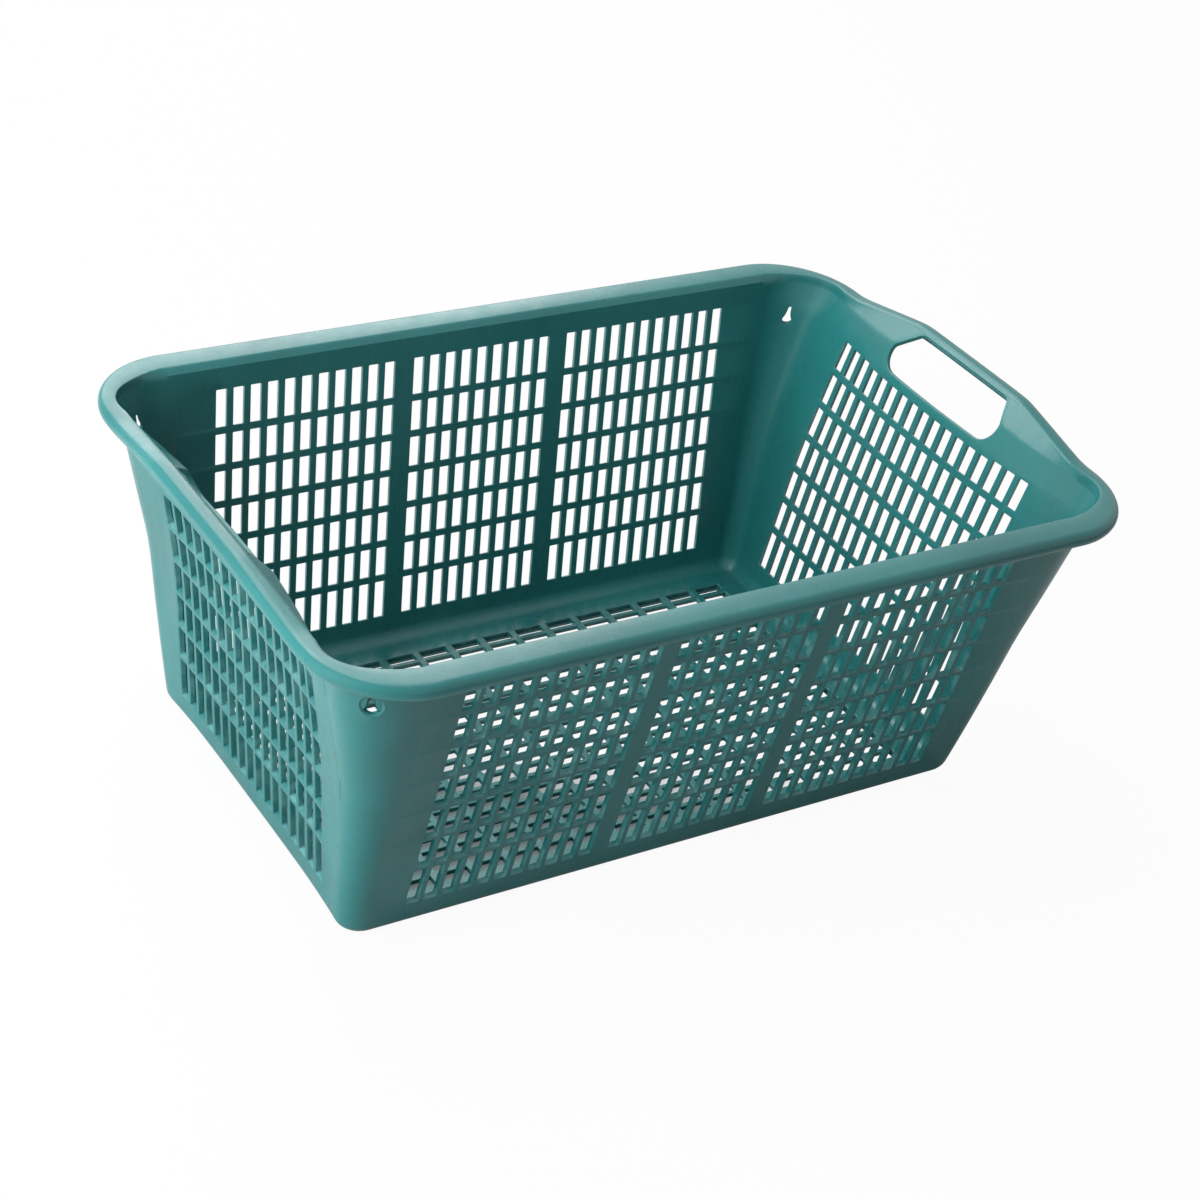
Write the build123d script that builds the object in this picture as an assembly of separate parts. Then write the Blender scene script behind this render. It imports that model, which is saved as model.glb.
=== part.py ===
from build123d import *
import os

# Ventilated harvest basket: a drafted tub with lattice walls, a hooked rim and two raised grips.
# X runs along the basket, Y across it and Z up from the ground, with the origin under its middle.
# Right is +X and back is +Y. All sizes are in millimetres.

# Overall sizes
RIM_LENGTH = 622.0  # over the rim's lip, without the grips
RIM_WIDTH = 400.0  # over the rim's lip
RIM_HEIGHT = 245.0  # top of the rim above the ground
BASE_LENGTH = 494.0  # outside of the end walls, carried down to the ground
BASE_WIDTH = 284.0  # outside of the long walls, carried down to the ground

# Shell of the tub
WALL = 3.6  # thickness of the walls, measured level
FLOOR = 4.0
BASE_CORNER_R = 17.5  # plan radius of the outer corners at the ground
TOP_CORNER_R = 40.5  # plan radius of the outer corners under the rim
FOOT_R = 10.0  # rounding of the outer bottom edge
COVE_R = 9.0  # rounding between floor and walls inside
FOOT_HEIGHT = 19.5  # plain band below the lattice
POST_EDGE = 1.5  # flat strip of a corner post beside its curve

# Rim: a hook in section, standing on the walls
RIM_DEPTH = 8.0  # height of the rim on top of the walls
RIM_REACH = 24.0  # from the wall's outer face to the edge of the lip
RIM_PLATE = 3.0
RIM_EDGE_R = 5.0
RIM_BEVEL = 4.0  # slope from the wall's inner face up to the rim's top
LIP = 2.6  # thickness of the lip
LIP_DROP = 7.5  # depth of the lip below the rim's top

# Raised grip at each end, over the hand hole
GRIP_RISE = 12.0  # above the rim's top
GRIP_REACH = 5.5  # past the rim's lip
GRIP_LIP_DROP = 12.8
RAMP_START = 8.0  # straight rim between the corner and the foot of the ramp
GRIP_CREST = 6.0  # flat on top of the grip
GRIP_BAR = 4.0  # strip of the flap left above the hand hole, measured level
FLAP_FOOT = 4.0  # height above the wall where the flap under the grip flares out
HOLE_WIDTH = 121.0
HOLE_TOP_WIDTH = 95.0
HOLE_SILL = 224.5  # lower edge of the hand hole above the ground
HOLE_R = 12.0

# Wall lattice: upright slots in level rows, wider on the outside
ROWS = 7
ROW_PITCH = 27.6
MIDDLE_ROW_HEIGHT = 124.0
SLOT_HEIGHT = 22.4
SLOT_WIDTH = 8.3
SLOT_FLARE_UP = 1.5  # how far each level side moves back from inside to outside
SLOT_FLARE_ACROSS = 0.9  # how far each upright side does
BOTTOM_ROW_EXTRA = 6.6  # the lowest row reaches further down
SIDE_TOP_EXTRA = 5.1  # the top row of the long walls reaches further up
SIDE_PITCH = 13.23
SIDE_OUTER_COLUMNS = 11
SIDE_CENTRE_COLUMNS = 9
SIDE_BAND = 14.8  # plain upright band between two slot fields
END_PITCH = 12.7
END_COLUMNS = 17
END_TALL_COLUMNS = 3  # columns on either side of the hand hole with a taller top slot
END_TOP_EXTRA = -1.7
END_TALL_EXTRA = 0.8
END_STRIP = 2.2  # strip of the lattice left above its top slots
END_RAIL = 1.6  # depth of the end walls' level rails, inside their uprights

# Floor lattice in two crossing layers
FLOOR_COLUMNS = 16
FLOOR_COLUMN_PITCH = 28.1
FLOOR_ROWS = 21
FLOOR_ROW_PITCH = 11.3
FLOOR_SLOT_LENGTH = 23.3
FLOOR_SLOT_WIDTH = 8.6
FLOOR_BORDER = 8.0  # plain edge round the floor's slots

# Keyhole through each corner, for hanging
KEYHOLE_HEIGHT = 210.0  # centre of the wide part above the ground
KEYHOLE_R = 3.2
KEYHOLE_NECK = 2.0
KEYHOLE_NECK_LENGTH = 8.5
KEYHOLE_TURN = 57.0  # degrees round the corner, from the end towards the long wall
RECESS_R = 9.5  # round recess in the outer face, about the keyhole's middle
RECESS_DEPTH = 1.2

OVERSHOOT = 2.0  # how far a cutting shape passes the face it cuts

# Places worked out from the sizes above
WALL_TOP = RIM_HEIGHT - RIM_DEPTH
TOP_LENGTH = RIM_LENGTH - 2 * RIM_REACH
TOP_WIDTH = RIM_WIDTH - 2 * RIM_REACH
END_SLOPE = (TOP_LENGTH - BASE_LENGTH) / 2 / WALL_TOP
SIDE_SLOPE = (TOP_WIDTH - BASE_WIDTH) / 2 / WALL_TOP
CORNER_X = BASE_LENGTH / 2 - BASE_CORNER_R
CORNER_Y = BASE_WIDTH / 2 - BASE_CORNER_R
KINK_X = TOP_LENGTH / 2 - TOP_CORNER_R
KINK_Y = TOP_WIDTH / 2 - TOP_CORNER_R
POST_LOW_X = CORNER_X - POST_EDGE
POST_LOW_Y = CORNER_Y - POST_EDGE
POST_HIGH_X = KINK_X - POST_EDGE
POST_HIGH_Y = KINK_Y - POST_EDGE
GRIP_TOP = RIM_DEPTH + GRIP_RISE
GRIP_EDGE = RIM_REACH + GRIP_REACH
FLAP_RUN = GRIP_EDGE - RIM_EDGE_R - GRIP_CREST + WALL
FLAP_RISE = (GRIP_TOP - FLAP_FOOT) / FLAP_RUN
HOLE_TOP = WALL_TOP + GRIP_TOP - FLAP_RISE * GRIP_BAR
CENTRE_FIELD = (SIDE_CENTRE_COLUMNS - 1) * SIDE_PITCH + SLOT_WIDTH
OUTER_FIELD = (SIDE_OUTER_COLUMNS - 1) * SIDE_PITCH + SLOT_WIDTH
BAND_X = (CENTRE_FIELD + SIDE_BAND) / 2
OUTER_FIELD_X = BAND_X + (SIDE_BAND + OUTER_FIELD) / 2
TOP_ROW_END = MIDDLE_ROW_HEIGHT + ROWS // 2 * ROW_PITCH + SLOT_HEIGHT / 2
END_FIELD_TOP = TOP_ROW_END + END_TOP_EXTRA + END_STRIP
END_TALL_TOP = TOP_ROW_END + END_TALL_EXTRA + END_STRIP
END_TALL_Y = (END_COLUMNS / 2 - END_TALL_COLUMNS) * END_PITCH
END_FIELD = (END_COLUMNS - 1) * END_PITCH + SLOT_WIDTH
END_TALL_FIELD = (END_TALL_COLUMNS - 1) * END_PITCH + SLOT_WIDTH
FLOOR_LENGTH = (FLOOR_COLUMNS - 1) * FLOOR_COLUMN_PITCH + FLOOR_SLOT_LENGTH
FLOOR_WIDTH = (FLOOR_ROWS - 1) * FLOOR_ROW_PITCH + FLOOR_SLOT_WIDTH


# Tub


def tub_section(height, inset):
    """Rounded rectangle of the tub at a height, drawn in by inset."""
    part_way = height / WALL_TOP
    length = BASE_LENGTH + (TOP_LENGTH - BASE_LENGTH) * part_way - 2 * inset
    width = BASE_WIDTH + (TOP_WIDTH - BASE_WIDTH) * part_way - 2 * inset
    radius = BASE_CORNER_R + (TOP_CORNER_R - BASE_CORNER_R) * part_way - inset
    return Plane.XY.offset(height) * RectangleRounded(length, width, radius)


def tub_block(low, high, inset, edge_radius):
    """Drafted block between two heights with its bottom edge rounded."""
    block = loft([tub_section(low, inset), tub_section(high, inset)], ruled=True)
    return fillet(block.edges().group_by(Axis.Z)[0], edge_radius)


def tub_shell():
    """Floor and walls of the tub, without slots, up to the underside of the rim."""
    outside = tub_block(0, WALL_TOP, 0, FOOT_R)
    inside = tub_block(FLOOR, WALL_TOP + OVERSHOOT, WALL, COVE_R)
    return outside - inside


def leaning_plane(direction, low, high):
    """Plane that faces direction, at distance low on the ground and high under the rim."""
    return Plane(origin=direction * low, z_dir=direction - Vector(0, 0, (high - low) / WALL_TOP))


RIGHT_CUT = leaning_plane(Vector(1, 0, 0), POST_LOW_X, POST_HIGH_X)
LEFT_CUT = leaning_plane(Vector(-1, 0, 0), POST_LOW_X, POST_HIGH_X)
BACK_CUT = leaning_plane(Vector(0, 1, 0), POST_LOW_Y, POST_HIGH_Y)
FRONT_CUT = leaning_plane(Vector(0, -1, 0), POST_LOW_Y, POST_HIGH_Y)
FOOT_CUT = Plane.XY.offset(FOOT_HEIGHT)


def floor_block(low, high):
    """Room that the floor lattice takes up between two heights."""
    block = Box(FLOOR_LENGTH + 2 * FLOOR_BORDER, FLOOR_WIDTH + 2 * FLOOR_BORDER, high - low)
    return Pos(Z=(low + high) / 2) * block


def long_wall(shell):
    """Back wall between the corner posts, with its share of the floor's edge."""
    wall = split(split(shell, BACK_CUT, Keep.TOP), RIGHT_CUT, Keep.BOTTOM)
    return split(wall, LEFT_CUT, Keep.BOTTOM) - floor_block(0, FLOOR)


def end_wall(shell):
    """Right end wall between the corner posts, with all of the floor's edge between the long walls."""
    wall = split(split(shell, Plane.YZ, Keep.TOP), BACK_CUT, Keep.BOTTOM)
    return split(wall, FRONT_CUT, Keep.BOTTOM) - floor_block(0, FLOOR)


def corner_post(shell):
    """Rounded corner at the back right, from the ground to the rim, with its keyhole."""
    post = split(split(shell, RIGHT_CUT, Keep.TOP), BACK_CUT, Keep.TOP) - floor_block(0, FLOOR)
    part_way = KEYHOLE_HEIGHT / WALL_TOP
    centre_x = CORNER_X + (KINK_X - CORNER_X) * part_way
    centre_y = CORNER_Y + (KINK_Y - CORNER_Y) * part_way
    outward = Vector(1, 0, 0).rotate(Axis.Z, KEYHOLE_TURN)
    plane = Plane((centre_x, centre_y, KEYHOLE_HEIGHT), x_dir=Vector(0, 0, 1).cross(outward), z_dir=outward)
    ends = Circle(KEYHOLE_R) + Pos(0, KEYHOLE_NECK_LENGTH) * Circle(KEYHOLE_NECK / 2)
    keyhole = extrude(plane * make_hull(ends.edges()), 2 * TOP_CORNER_R)
    recess = extrude(plane * Pos(0, KEYHOLE_NECK_LENGTH / 2) * Circle(RECESS_R), 2 * TOP_CORNER_R)
    behind_recess = loft([tub_section(height, RECESS_DEPTH) for height in (0, WALL_TOP)], ruled=True)
    return post - keyhole - (recess - behind_recess)


# Lattice


def spread(count, pitch, centre=0.0):
    """Evenly spaced places about a centre."""
    return [centre + (index - (count - 1) / 2) * pitch for index in range(count)]


def wall_plane(outward, distance, slope):
    """Plane on a wall's inner face, with its Y axis up the slope and its Z axis outwards."""
    across = Vector(0, 0, 1).cross(outward)
    return Plane(origin=outward * distance, x_dir=across, z_dir=outward - Vector(0, 0, slope))


def slot_cutter(plane, place, width, low, high):
    """Tapered block for one slot of a wall, between two heights, with its small end on the inner face."""
    rise = plane.y_dir.Z
    thickness = WALL * rise
    over = OVERSHOOT / thickness
    sections = []
    for part_way in (-over, 1 + over):
        flare_across = 2 * part_way * SLOT_FLARE_ACROSS
        flare_up = 2 * part_way * SLOT_FLARE_UP
        section = Rectangle(width + flare_across, (high - low) / rise + flare_up)
        sections.append(Pos(Z=part_way * thickness) * section)
    return plane * Pos(place, (high + low) / 2 / rise) * loft(sections, ruled=True)


def row_span(row, top_extra):
    """Lower and upper end of the slots in a row, counted from the top."""
    middle = MIDDLE_ROW_HEIGHT + (ROWS // 2 - row) * ROW_PITCH
    low = middle - SLOT_HEIGHT / 2
    high = middle + SLOT_HEIGHT / 2
    if row == ROWS - 1:
        low -= BOTTOM_ROW_EXTRA
    if row == 0:
        high += top_extra
    return low, high


def side_panel(wall, low_x, high_x, columns):
    """Part of the back wall between two places along X, with its field of slots."""
    strip = split(wall, Plane.YZ.offset(low_x), Keep.TOP)
    strip = split(strip, Plane.YZ.offset(high_x), Keep.BOTTOM)
    plane = wall_plane(Vector(0, 1, 0), BASE_WIDTH / 2 - WALL, SIDE_SLOPE)
    slots = []
    for row in range(ROWS):
        low, high = row_span(row, SIDE_TOP_EXTRA)
        slots += [slot_cutter(plane, -column, SLOT_WIDTH, low, high) for column in columns]
    return strip - slots


def frame_zone():
    """Block over the part of the right end wall that frames the hand hole, above the lattice."""
    lower = Pos(0, (END_FIELD_TOP + RIM_HEIGHT) / 2) * Rectangle(2 * END_TALL_Y, RIM_HEIGHT - END_FIELD_TOP)
    upper = Pos(0, (END_TALL_TOP + RIM_HEIGHT) / 2) * Rectangle(RIM_WIDTH, RIM_HEIGHT - END_TALL_TOP)
    return extrude(Plane.YZ * (lower + upper), RIM_LENGTH)


def end_uprights(lattice, plane):
    """Outer layer of the right end's lattice: uprights with a slot of full height between two of them."""
    foot = row_span(ROWS - 1, END_TOP_EXTRA)[0]
    slots = []
    for column in spread(END_COLUMNS, END_PITCH):
        extra = END_TALL_EXTRA if abs(column) > END_TALL_Y else END_TOP_EXTRA
        head = row_span(0, extra)[1]
        slots.append(slot_cutter(plane, column, SLOT_WIDTH, foot, head))
    return split(lattice, plane.offset(END_RAIL), Keep.TOP) - slots


def end_rails(lattice, plane):
    """Inner layer of the right end's lattice: level rails, with taller top slots beside the hand hole."""
    slots = [slot_cutter(plane, 0, END_FIELD, *row_span(row, END_TOP_EXTRA)) for row in range(ROWS)]
    beside = (END_FIELD - END_TALL_FIELD) / 2
    for place in (-beside, beside):
        slots.append(slot_cutter(plane, place, END_TALL_FIELD, *row_span(0, END_TALL_EXTRA)))
    return split(lattice, plane.offset(END_RAIL), Keep.BOTTOM) - slots


def floor_slats():
    """Upper layer of the floor: slats along the basket."""
    slots = [Pos(0, row) * Rectangle(FLOOR_LENGTH, FLOOR_SLOT_WIDTH) for row in spread(FLOOR_ROWS, FLOOR_ROW_PITCH)]
    return floor_block(FLOOR / 2, FLOOR) - extrude(Sketch() + slots, FLOOR)


def floor_ribs():
    """Lower layer of the floor: ribs across the basket, under the slats."""
    places = spread(FLOOR_COLUMNS, FLOOR_COLUMN_PITCH)
    slots = [Pos(place, 0) * Rectangle(FLOOR_SLOT_LENGTH, FLOOR_WIDTH) for place in places]
    return floor_block(0, FLOOR / 2) - extrude(Sketch() + slots, FLOOR)


# Rim and grips


def hook_profile(slope_foot, slope_run, crest, reach, lip_drop):
    """Section of the rim: X outwards from the wall's outer face, Y up from the top of the wall."""
    rise = (crest - slope_foot) / slope_run
    plate_drop = RIM_PLATE * (1 + rise**2) ** 0.5
    underside = crest - RIM_PLATE
    edge_start = (reach - RIM_EDGE_R, crest)
    edge_end = (reach, crest - RIM_EDGE_R)
    with BuildSketch() as section:
        with BuildLine():
            Polyline((0, 0), (-WALL, 0), (-WALL, slope_foot), (slope_run - WALL, crest), edge_start)
            TangentArc(edge_start, edge_end, tangent=(1, 0))
            Polyline(
                edge_end,
                (reach, crest - lip_drop),
                (reach - LIP, crest - lip_drop),
                (reach - LIP, underside),
                ((underside - slope_foot + plate_drop) / rise - WALL, underside),
                (0, slope_foot + rise * WALL - plate_drop),
                (0, 0),
            )
        make_face()
    return section.sketch


def rim_section():
    """Section of the plain rim."""
    return hook_profile(RIM_DEPTH - RIM_BEVEL, RIM_BEVEL, RIM_DEPTH, RIM_REACH, LIP_DROP)


def grip_section():
    """Section of the raised grip with the whole flared flap below it."""
    return hook_profile(FLAP_FOOT, FLAP_RUN, GRIP_TOP, GRIP_EDGE, GRIP_LIP_DROP)


def end_plane(place):
    """Plane across the right end's rim at a place along Y."""
    return Plane(origin=(TOP_LENGTH / 2, place, WALL_TOP), x_dir=(1, 0, 0), z_dir=(0, -1, 0))


def side_plane(place):
    """Plane across the back rim at a place along X."""
    return Plane(origin=(place, TOP_WIDTH / 2, WALL_TOP), x_dir=(0, 1, 0), z_dir=(1, 0, 0))


def rim_run():
    """Straight rim along the back wall."""
    return extrude(side_plane(-KINK_X) * rim_section(), 2 * KINK_X)


def rim_corner():
    """Rim turned round the back right corner."""
    axis = Axis((KINK_X, KINK_Y, 0), (0, 0, -1))
    return revolve(side_plane(KINK_X) * rim_section(), axis, 90)


def grip_shoulder():
    """Ramp at the back of the right end, from the plain rim up to the grip."""
    sections = [end_plane(place) * rim_section() for place in (KINK_Y, KINK_Y - RAMP_START)]
    sections.append(end_plane(HOLE_WIDTH / 2) * grip_section())
    return loft(sections, ruled=True)


def hand_hole():
    """Block through the right end's wall and flap, clear of the grip's lip."""
    half = HOLE_WIDTH / 2
    half_top = HOLE_TOP_WIDTH / 2
    crease = WALL_TOP + FLAP_FOOT
    outline = Polygon(
        (-half, HOLE_SILL),
        (half, HOLE_SILL),
        (half, crease),
        (half_top, HOLE_TOP),
        (-half_top, HOLE_TOP),
        (-half, crease),
        align=None,
    )
    outline = fillet(outline.vertices().group_by(Axis.Y)[0], HOLE_R)
    start = TOP_LENGTH / 2 - RIM_REACH
    end = TOP_LENGTH / 2 + GRIP_EDGE - LIP - OVERSHOOT / 2
    return extrude(Plane.YZ.offset(start) * outline, end - start)


def grip():
    """Grip bar over the right end's hand hole, hooked like the rim."""
    return extrude(end_plane(HOLE_WIDTH / 2) * grip_section(), HOLE_WIDTH) - hand_hole()


# Pieces: the back right quarter is modelled and the rest are its mirror images


def both_ends(stem, right):
    """A piece of the right end and its mirror image at the left."""
    return {f"right_{stem}": right, f"left_{stem}": mirror(right, Plane.YZ)}


def both_sides(stem, back):
    """A piece of the back and its mirror image at the front."""
    return {f"back_{stem}": back, f"front_{stem}": mirror(back, Plane.XZ)}


def four_corners(stem, back_right):
    """A piece of the back right corner and its three mirror images."""
    pieces = both_sides(f"right_{stem}", back_right)
    return pieces | both_sides(f"left_{stem}", mirror(back_right, Plane.YZ))


def build_pieces():
    """Every piece of the basket by its name."""
    shell = tub_shell()
    side = long_wall(shell)
    end = end_wall(shell)
    side_face = split(side, FOOT_CUT, Keep.TOP)
    end_face = split(end, FOOT_CUT, Keep.TOP)
    centre = side_panel(side_face, -BAND_X, BAND_X, spread(SIDE_CENTRE_COLUMNS, SIDE_PITCH))
    end_lattice = end_face - frame_zone()
    end_inner_face = wall_plane(Vector(1, 0, 0), BASE_LENGTH / 2 - WALL, END_SLOPE)
    outer = side_panel(side_face, BAND_X, RIM_LENGTH, spread(SIDE_OUTER_COLUMNS, SIDE_PITCH, OUTER_FIELD_X))
    pieces = {"floor_slats": floor_slats(), "floor_ribs": floor_ribs()}
    pieces |= both_sides("foot", split(side, FOOT_CUT, Keep.BOTTOM))
    pieces |= both_ends("foot", split(end, FOOT_CUT, Keep.BOTTOM))
    pieces |= four_corners("corner_post", corner_post(shell))
    pieces |= both_sides("centre_panel", centre)
    pieces |= four_corners("side_panel", outer)
    pieces |= both_ends("end_uprights", end_uprights(end_lattice, end_inner_face))
    pieces |= both_ends("end_rails", end_rails(end_lattice, end_inner_face))
    pieces |= both_ends("handle_frame", (end_face & frame_zone()) - hand_hole())
    pieces |= both_sides("rim", rim_run())
    pieces |= four_corners("rim_corner", rim_corner())
    pieces |= four_corners("grip_shoulder", grip_shoulder())
    pieces |= both_ends("grip", grip())
    return pieces


os.makedirs("parts", exist_ok=True)
for name, piece in build_pieces().items():
    export_step(piece, f"parts/{name}.step")
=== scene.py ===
"""Ventilated harvest basket: a moulded lattice tub with a hooked rim and two raised grips."""
import math
from collections import Counter
from functools import partial

import bmesh
import bpy
import numpy as np
from bpy.props import FloatProperty, FloatVectorProperty, IntProperty, PointerProperty
from bpy.types import Operator, Panel, PropertyGroup
from mathutils import Matrix, Vector


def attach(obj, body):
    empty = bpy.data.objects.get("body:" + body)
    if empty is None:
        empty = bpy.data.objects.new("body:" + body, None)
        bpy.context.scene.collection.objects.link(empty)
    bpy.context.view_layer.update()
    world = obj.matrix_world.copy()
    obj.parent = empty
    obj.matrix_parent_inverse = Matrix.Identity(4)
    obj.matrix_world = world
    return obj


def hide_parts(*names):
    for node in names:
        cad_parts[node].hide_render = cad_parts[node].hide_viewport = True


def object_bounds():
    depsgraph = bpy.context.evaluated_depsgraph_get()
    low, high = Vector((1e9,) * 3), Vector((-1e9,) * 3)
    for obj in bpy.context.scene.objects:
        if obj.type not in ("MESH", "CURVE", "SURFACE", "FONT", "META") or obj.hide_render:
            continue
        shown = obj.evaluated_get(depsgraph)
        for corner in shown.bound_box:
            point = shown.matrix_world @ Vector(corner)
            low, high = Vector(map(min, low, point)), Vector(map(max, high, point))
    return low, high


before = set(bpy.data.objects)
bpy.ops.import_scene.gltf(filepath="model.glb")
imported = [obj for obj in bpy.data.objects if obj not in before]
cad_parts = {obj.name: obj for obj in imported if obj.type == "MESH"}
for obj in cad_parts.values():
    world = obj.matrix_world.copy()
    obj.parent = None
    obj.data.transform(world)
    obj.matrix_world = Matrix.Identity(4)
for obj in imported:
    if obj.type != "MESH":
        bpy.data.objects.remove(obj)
CAD_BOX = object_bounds()

bl_info = {
    "name": "Harvest basket",
    "version": (1, 0, 0),
    "blender": (4, 5, 0),
    "location": "View3D > Sidebar > Basket",
    "description": "Builds the walls, rim and grips of a moulded harvest basket on its frame",
    "category": "Object",
}

MM = 0.001
QUARTER = math.pi / 2
MERGE = 1e-6                    # points closer than this become one
SHARP_ANGLE = math.radians(32)  # edges that turn by more than this stay sharp
NORMAL_STEP = 1e-4              # step to each side of a point that gives a surface's slope
WEAR = "edge_wear"              # attribute that is 1 along worn edges


def length(name, description, millimetres):
    """A length property, given in millimetres and kept in metres."""
    return FloatProperty(name=name, description=description, default=millimetres * MM,
                         unit="LENGTH", precision=5)


def ratio(name, description, value):
    """A plain number property."""
    return FloatProperty(name=name, description=description, default=value, precision=4)


def whole(name, description, value):
    """A whole number property."""
    return IntProperty(name=name, description=description, default=value)


def power(name, description, watts):
    """A lamp's power property."""
    return FloatProperty(name=name, description=description, default=watts, unit="POWER")


def colour(name, description, value):
    """A colour property in linear light."""
    return FloatVectorProperty(name=name, description=description, default=value, size=4,
                               subtype="COLOR", min=0, max=1)


def position(name, description, value):
    """A position property in metres."""
    return FloatVectorProperty(name=name, description=description, default=value, size=3,
                               subtype="XYZ", unit="LENGTH")


class TubSizes(PropertyGroup):
    """Walls, foot and floor of the basket."""

    thickness: length("Wall thickness", "Plastic thickness of the walls", 3.8)
    side_foot: length(
        "Side foot", "Half width of the tub at the ground, at the middle of the wall", 140.15)
    side_lean: ratio("Side lean", "How far a long wall leans out for each unit of height", 0.152)
    end_foot: length(
        "End foot", "Half length of the tub at the ground, at the middle of the wall", 247.5)
    end_lean: ratio("End lean", "How far an end wall leans out for each unit of height", 0.1225)
    sweep: ratio("Sweep", "Extra lean of an end wall in its upper half", 0.04)
    sweep_start: length("Sweep start", "Height at which the upper half begins to lean more", 140)
    sweep_softness: length("Sweep softness", "How gently the sweep sets in", 15)
    flare: ratio("Flare", "Extra lean of an end wall near its top", 0.26)
    flare_start: length("Flare start", "Height at which an end wall begins to flare", 220)
    flare_softness: length("Flare softness", "How gently the flare sets in", 4)
    bow: ratio("Bow", "How fast an end wall's hollow between its corners grows with height", 5.6)
    bow_start: length("Bow start", "Height at which an end wall begins to be hollow", 126)
    bow_softness: length("Bow softness", "How gently the hollow sets in", 10)
    kick: ratio("Kick", "How strongly an end wall turns out beside its corners at the ground", 11.5)
    kick_loss: ratio("Kick loss", "Share of that kick lost up to the rim", 0.55)
    corner_low: length("Corner radius low", "Plan radius of a corner at the ground", 15.6)
    corner_high: length("Corner radius high", "Plan radius of a corner under the rim", 40.6)
    corner_power: ratio(
        "Corner growth", "Power of height with which the corner's radius grows", 2.2)
    wall_top: length("Wall top", "Height at which the walls run into the rim", 237)
    end_top: length(
        "End lattice top", "Height at which an end lattice runs into the hand hole's frame", 222)
    foot_height: length("Foot height", "Height of the plain band round the foot", 19.5)
    foot_radius: length("Foot radius", "Rounding of the outer bottom edge", 10)
    cove_radius: length("Cove radius", "Rounding between floor and walls inside", 9)
    floor: length("Floor thickness", "Thickness of the floor lattice", 4)


class SlotSizes(PropertyGroup):
    """Slots of the walls and of the floor."""

    width: length("Slot width", "Width of a wall slot at its narrowest", 8.2)
    height: length("Slot height", "Height of a wall slot at its lowest", 22.3)
    cut: length("Slot corner", "Corner cut of a slot", 0.4)
    bevel: length("Slot edge", "Bevel of a slot's edges", 0.35)
    flare_across: length(
        "Flare across", "How much a slot widens to each side towards the outside", 0.6)
    flare_up: length("Flare up", "How much a slot grows up and down towards the outside", 1.2)
    rows: whole("Rows", "Rows of slots on each wall", 7)
    side_bottom_extra: length(
        "Side bottom extra", "How much lower the bottom slots of a long wall reach", 6.7)
    side_row: length("Side middle row", "Height of the middle row on a long wall", 125)
    side_row_pitch: length("Side row pitch", "Row to row on a long wall", 27.7)
    side_top_extra: length(
        "Side top extra", "How much taller the top slots of a long wall are", 5.1)
    side_pitch: length("Side pitch", "Slot to slot along a long wall", 13.23)
    side_band: length("Side band", "Plain band between the fields of a long wall", 15.5)
    side_columns: whole("Outer columns", "Slots across each outer field", 11)
    centre_columns: whole("Centre columns", "Slots across the centre field", 9)
    end_row: length("End middle row", "Height of the middle row on an end wall", 126.6)
    end_row_pitch: length("End row pitch", "Row to row on an end wall", 27.7)
    end_pitch: length("End pitch", "Slot to slot along an end wall", 12.7)
    end_columns: whole("End columns", "Slots across an end wall", 17)
    end_tall_columns: whole("Tall columns", "Taller top slots at each side", 3)
    end_bottom_extra: length(
        "End bottom extra", "How much lower the bottom slots of an end wall reach", 8.5)
    end_top_extra: length("End top extra", "How much taller the top slots of an end wall are", -2.4)
    end_tall_extra: length(
        "End tall extra", "How much taller still the outer top slots of an end wall are", 1.6)
    floor_columns: whole("Floor columns", "Slots along the floor", 16)
    floor_rows: whole("Floor rows", "Slots across the floor", 21)
    floor_pitch_x: length("Floor pitch x", "Slot to slot along the floor", 28.1)
    floor_pitch_y: length("Floor pitch y", "Slot to slot across the floor", 11.3)
    floor_length: length("Floor slot length", "Length of a floor slot", 22.6)
    floor_width: length("Floor slot width", "Width of a floor slot", 7.9)
    floor_border: length("Floor border", "Plain edge round the floor slots", 8)
    floor_flare: length("Floor flare", "How much a floor slot widens downwards", 0.3)
    keyhole_height: length("Keyhole height", "Height of the keyhole's round end", 210)
    keyhole_turn: ratio(
        "Keyhole turn", "Place of the keyhole round its corner, from end wall 0 to long wall 1",
        0.63)
    keyhole_radius: length("Keyhole radius", "Radius of the keyhole's round end", 3.2)
    keyhole_neck: length("Keyhole neck", "Radius of the keyhole's neck", 1.0)
    keyhole_length: length("Keyhole length", "Length of the keyhole's neck", 8.5)
    keyhole_edge: length("Keyhole edge", "Rounding of the keyhole's edges", 0.5)
    keyhole_flare: length("Keyhole flare", "How much the keyhole widens towards the outside", 1.1)
    keyhole_patch: length(
        "Keyhole patch", "Half height of the wall patch that holds the keyhole", 14)
    recess_width: length("Recess width", "Half width of the oval recess outside the keyhole", 6.6)
    recess_height: length("Recess height", "Half height of that recess", 8.3)
    recess_depth: length("Recess depth", "Depth of that recess", 1.0)
    recess_edge: length("Recess edge", "Width of that recess's sloping edge", 1.2)


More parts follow.
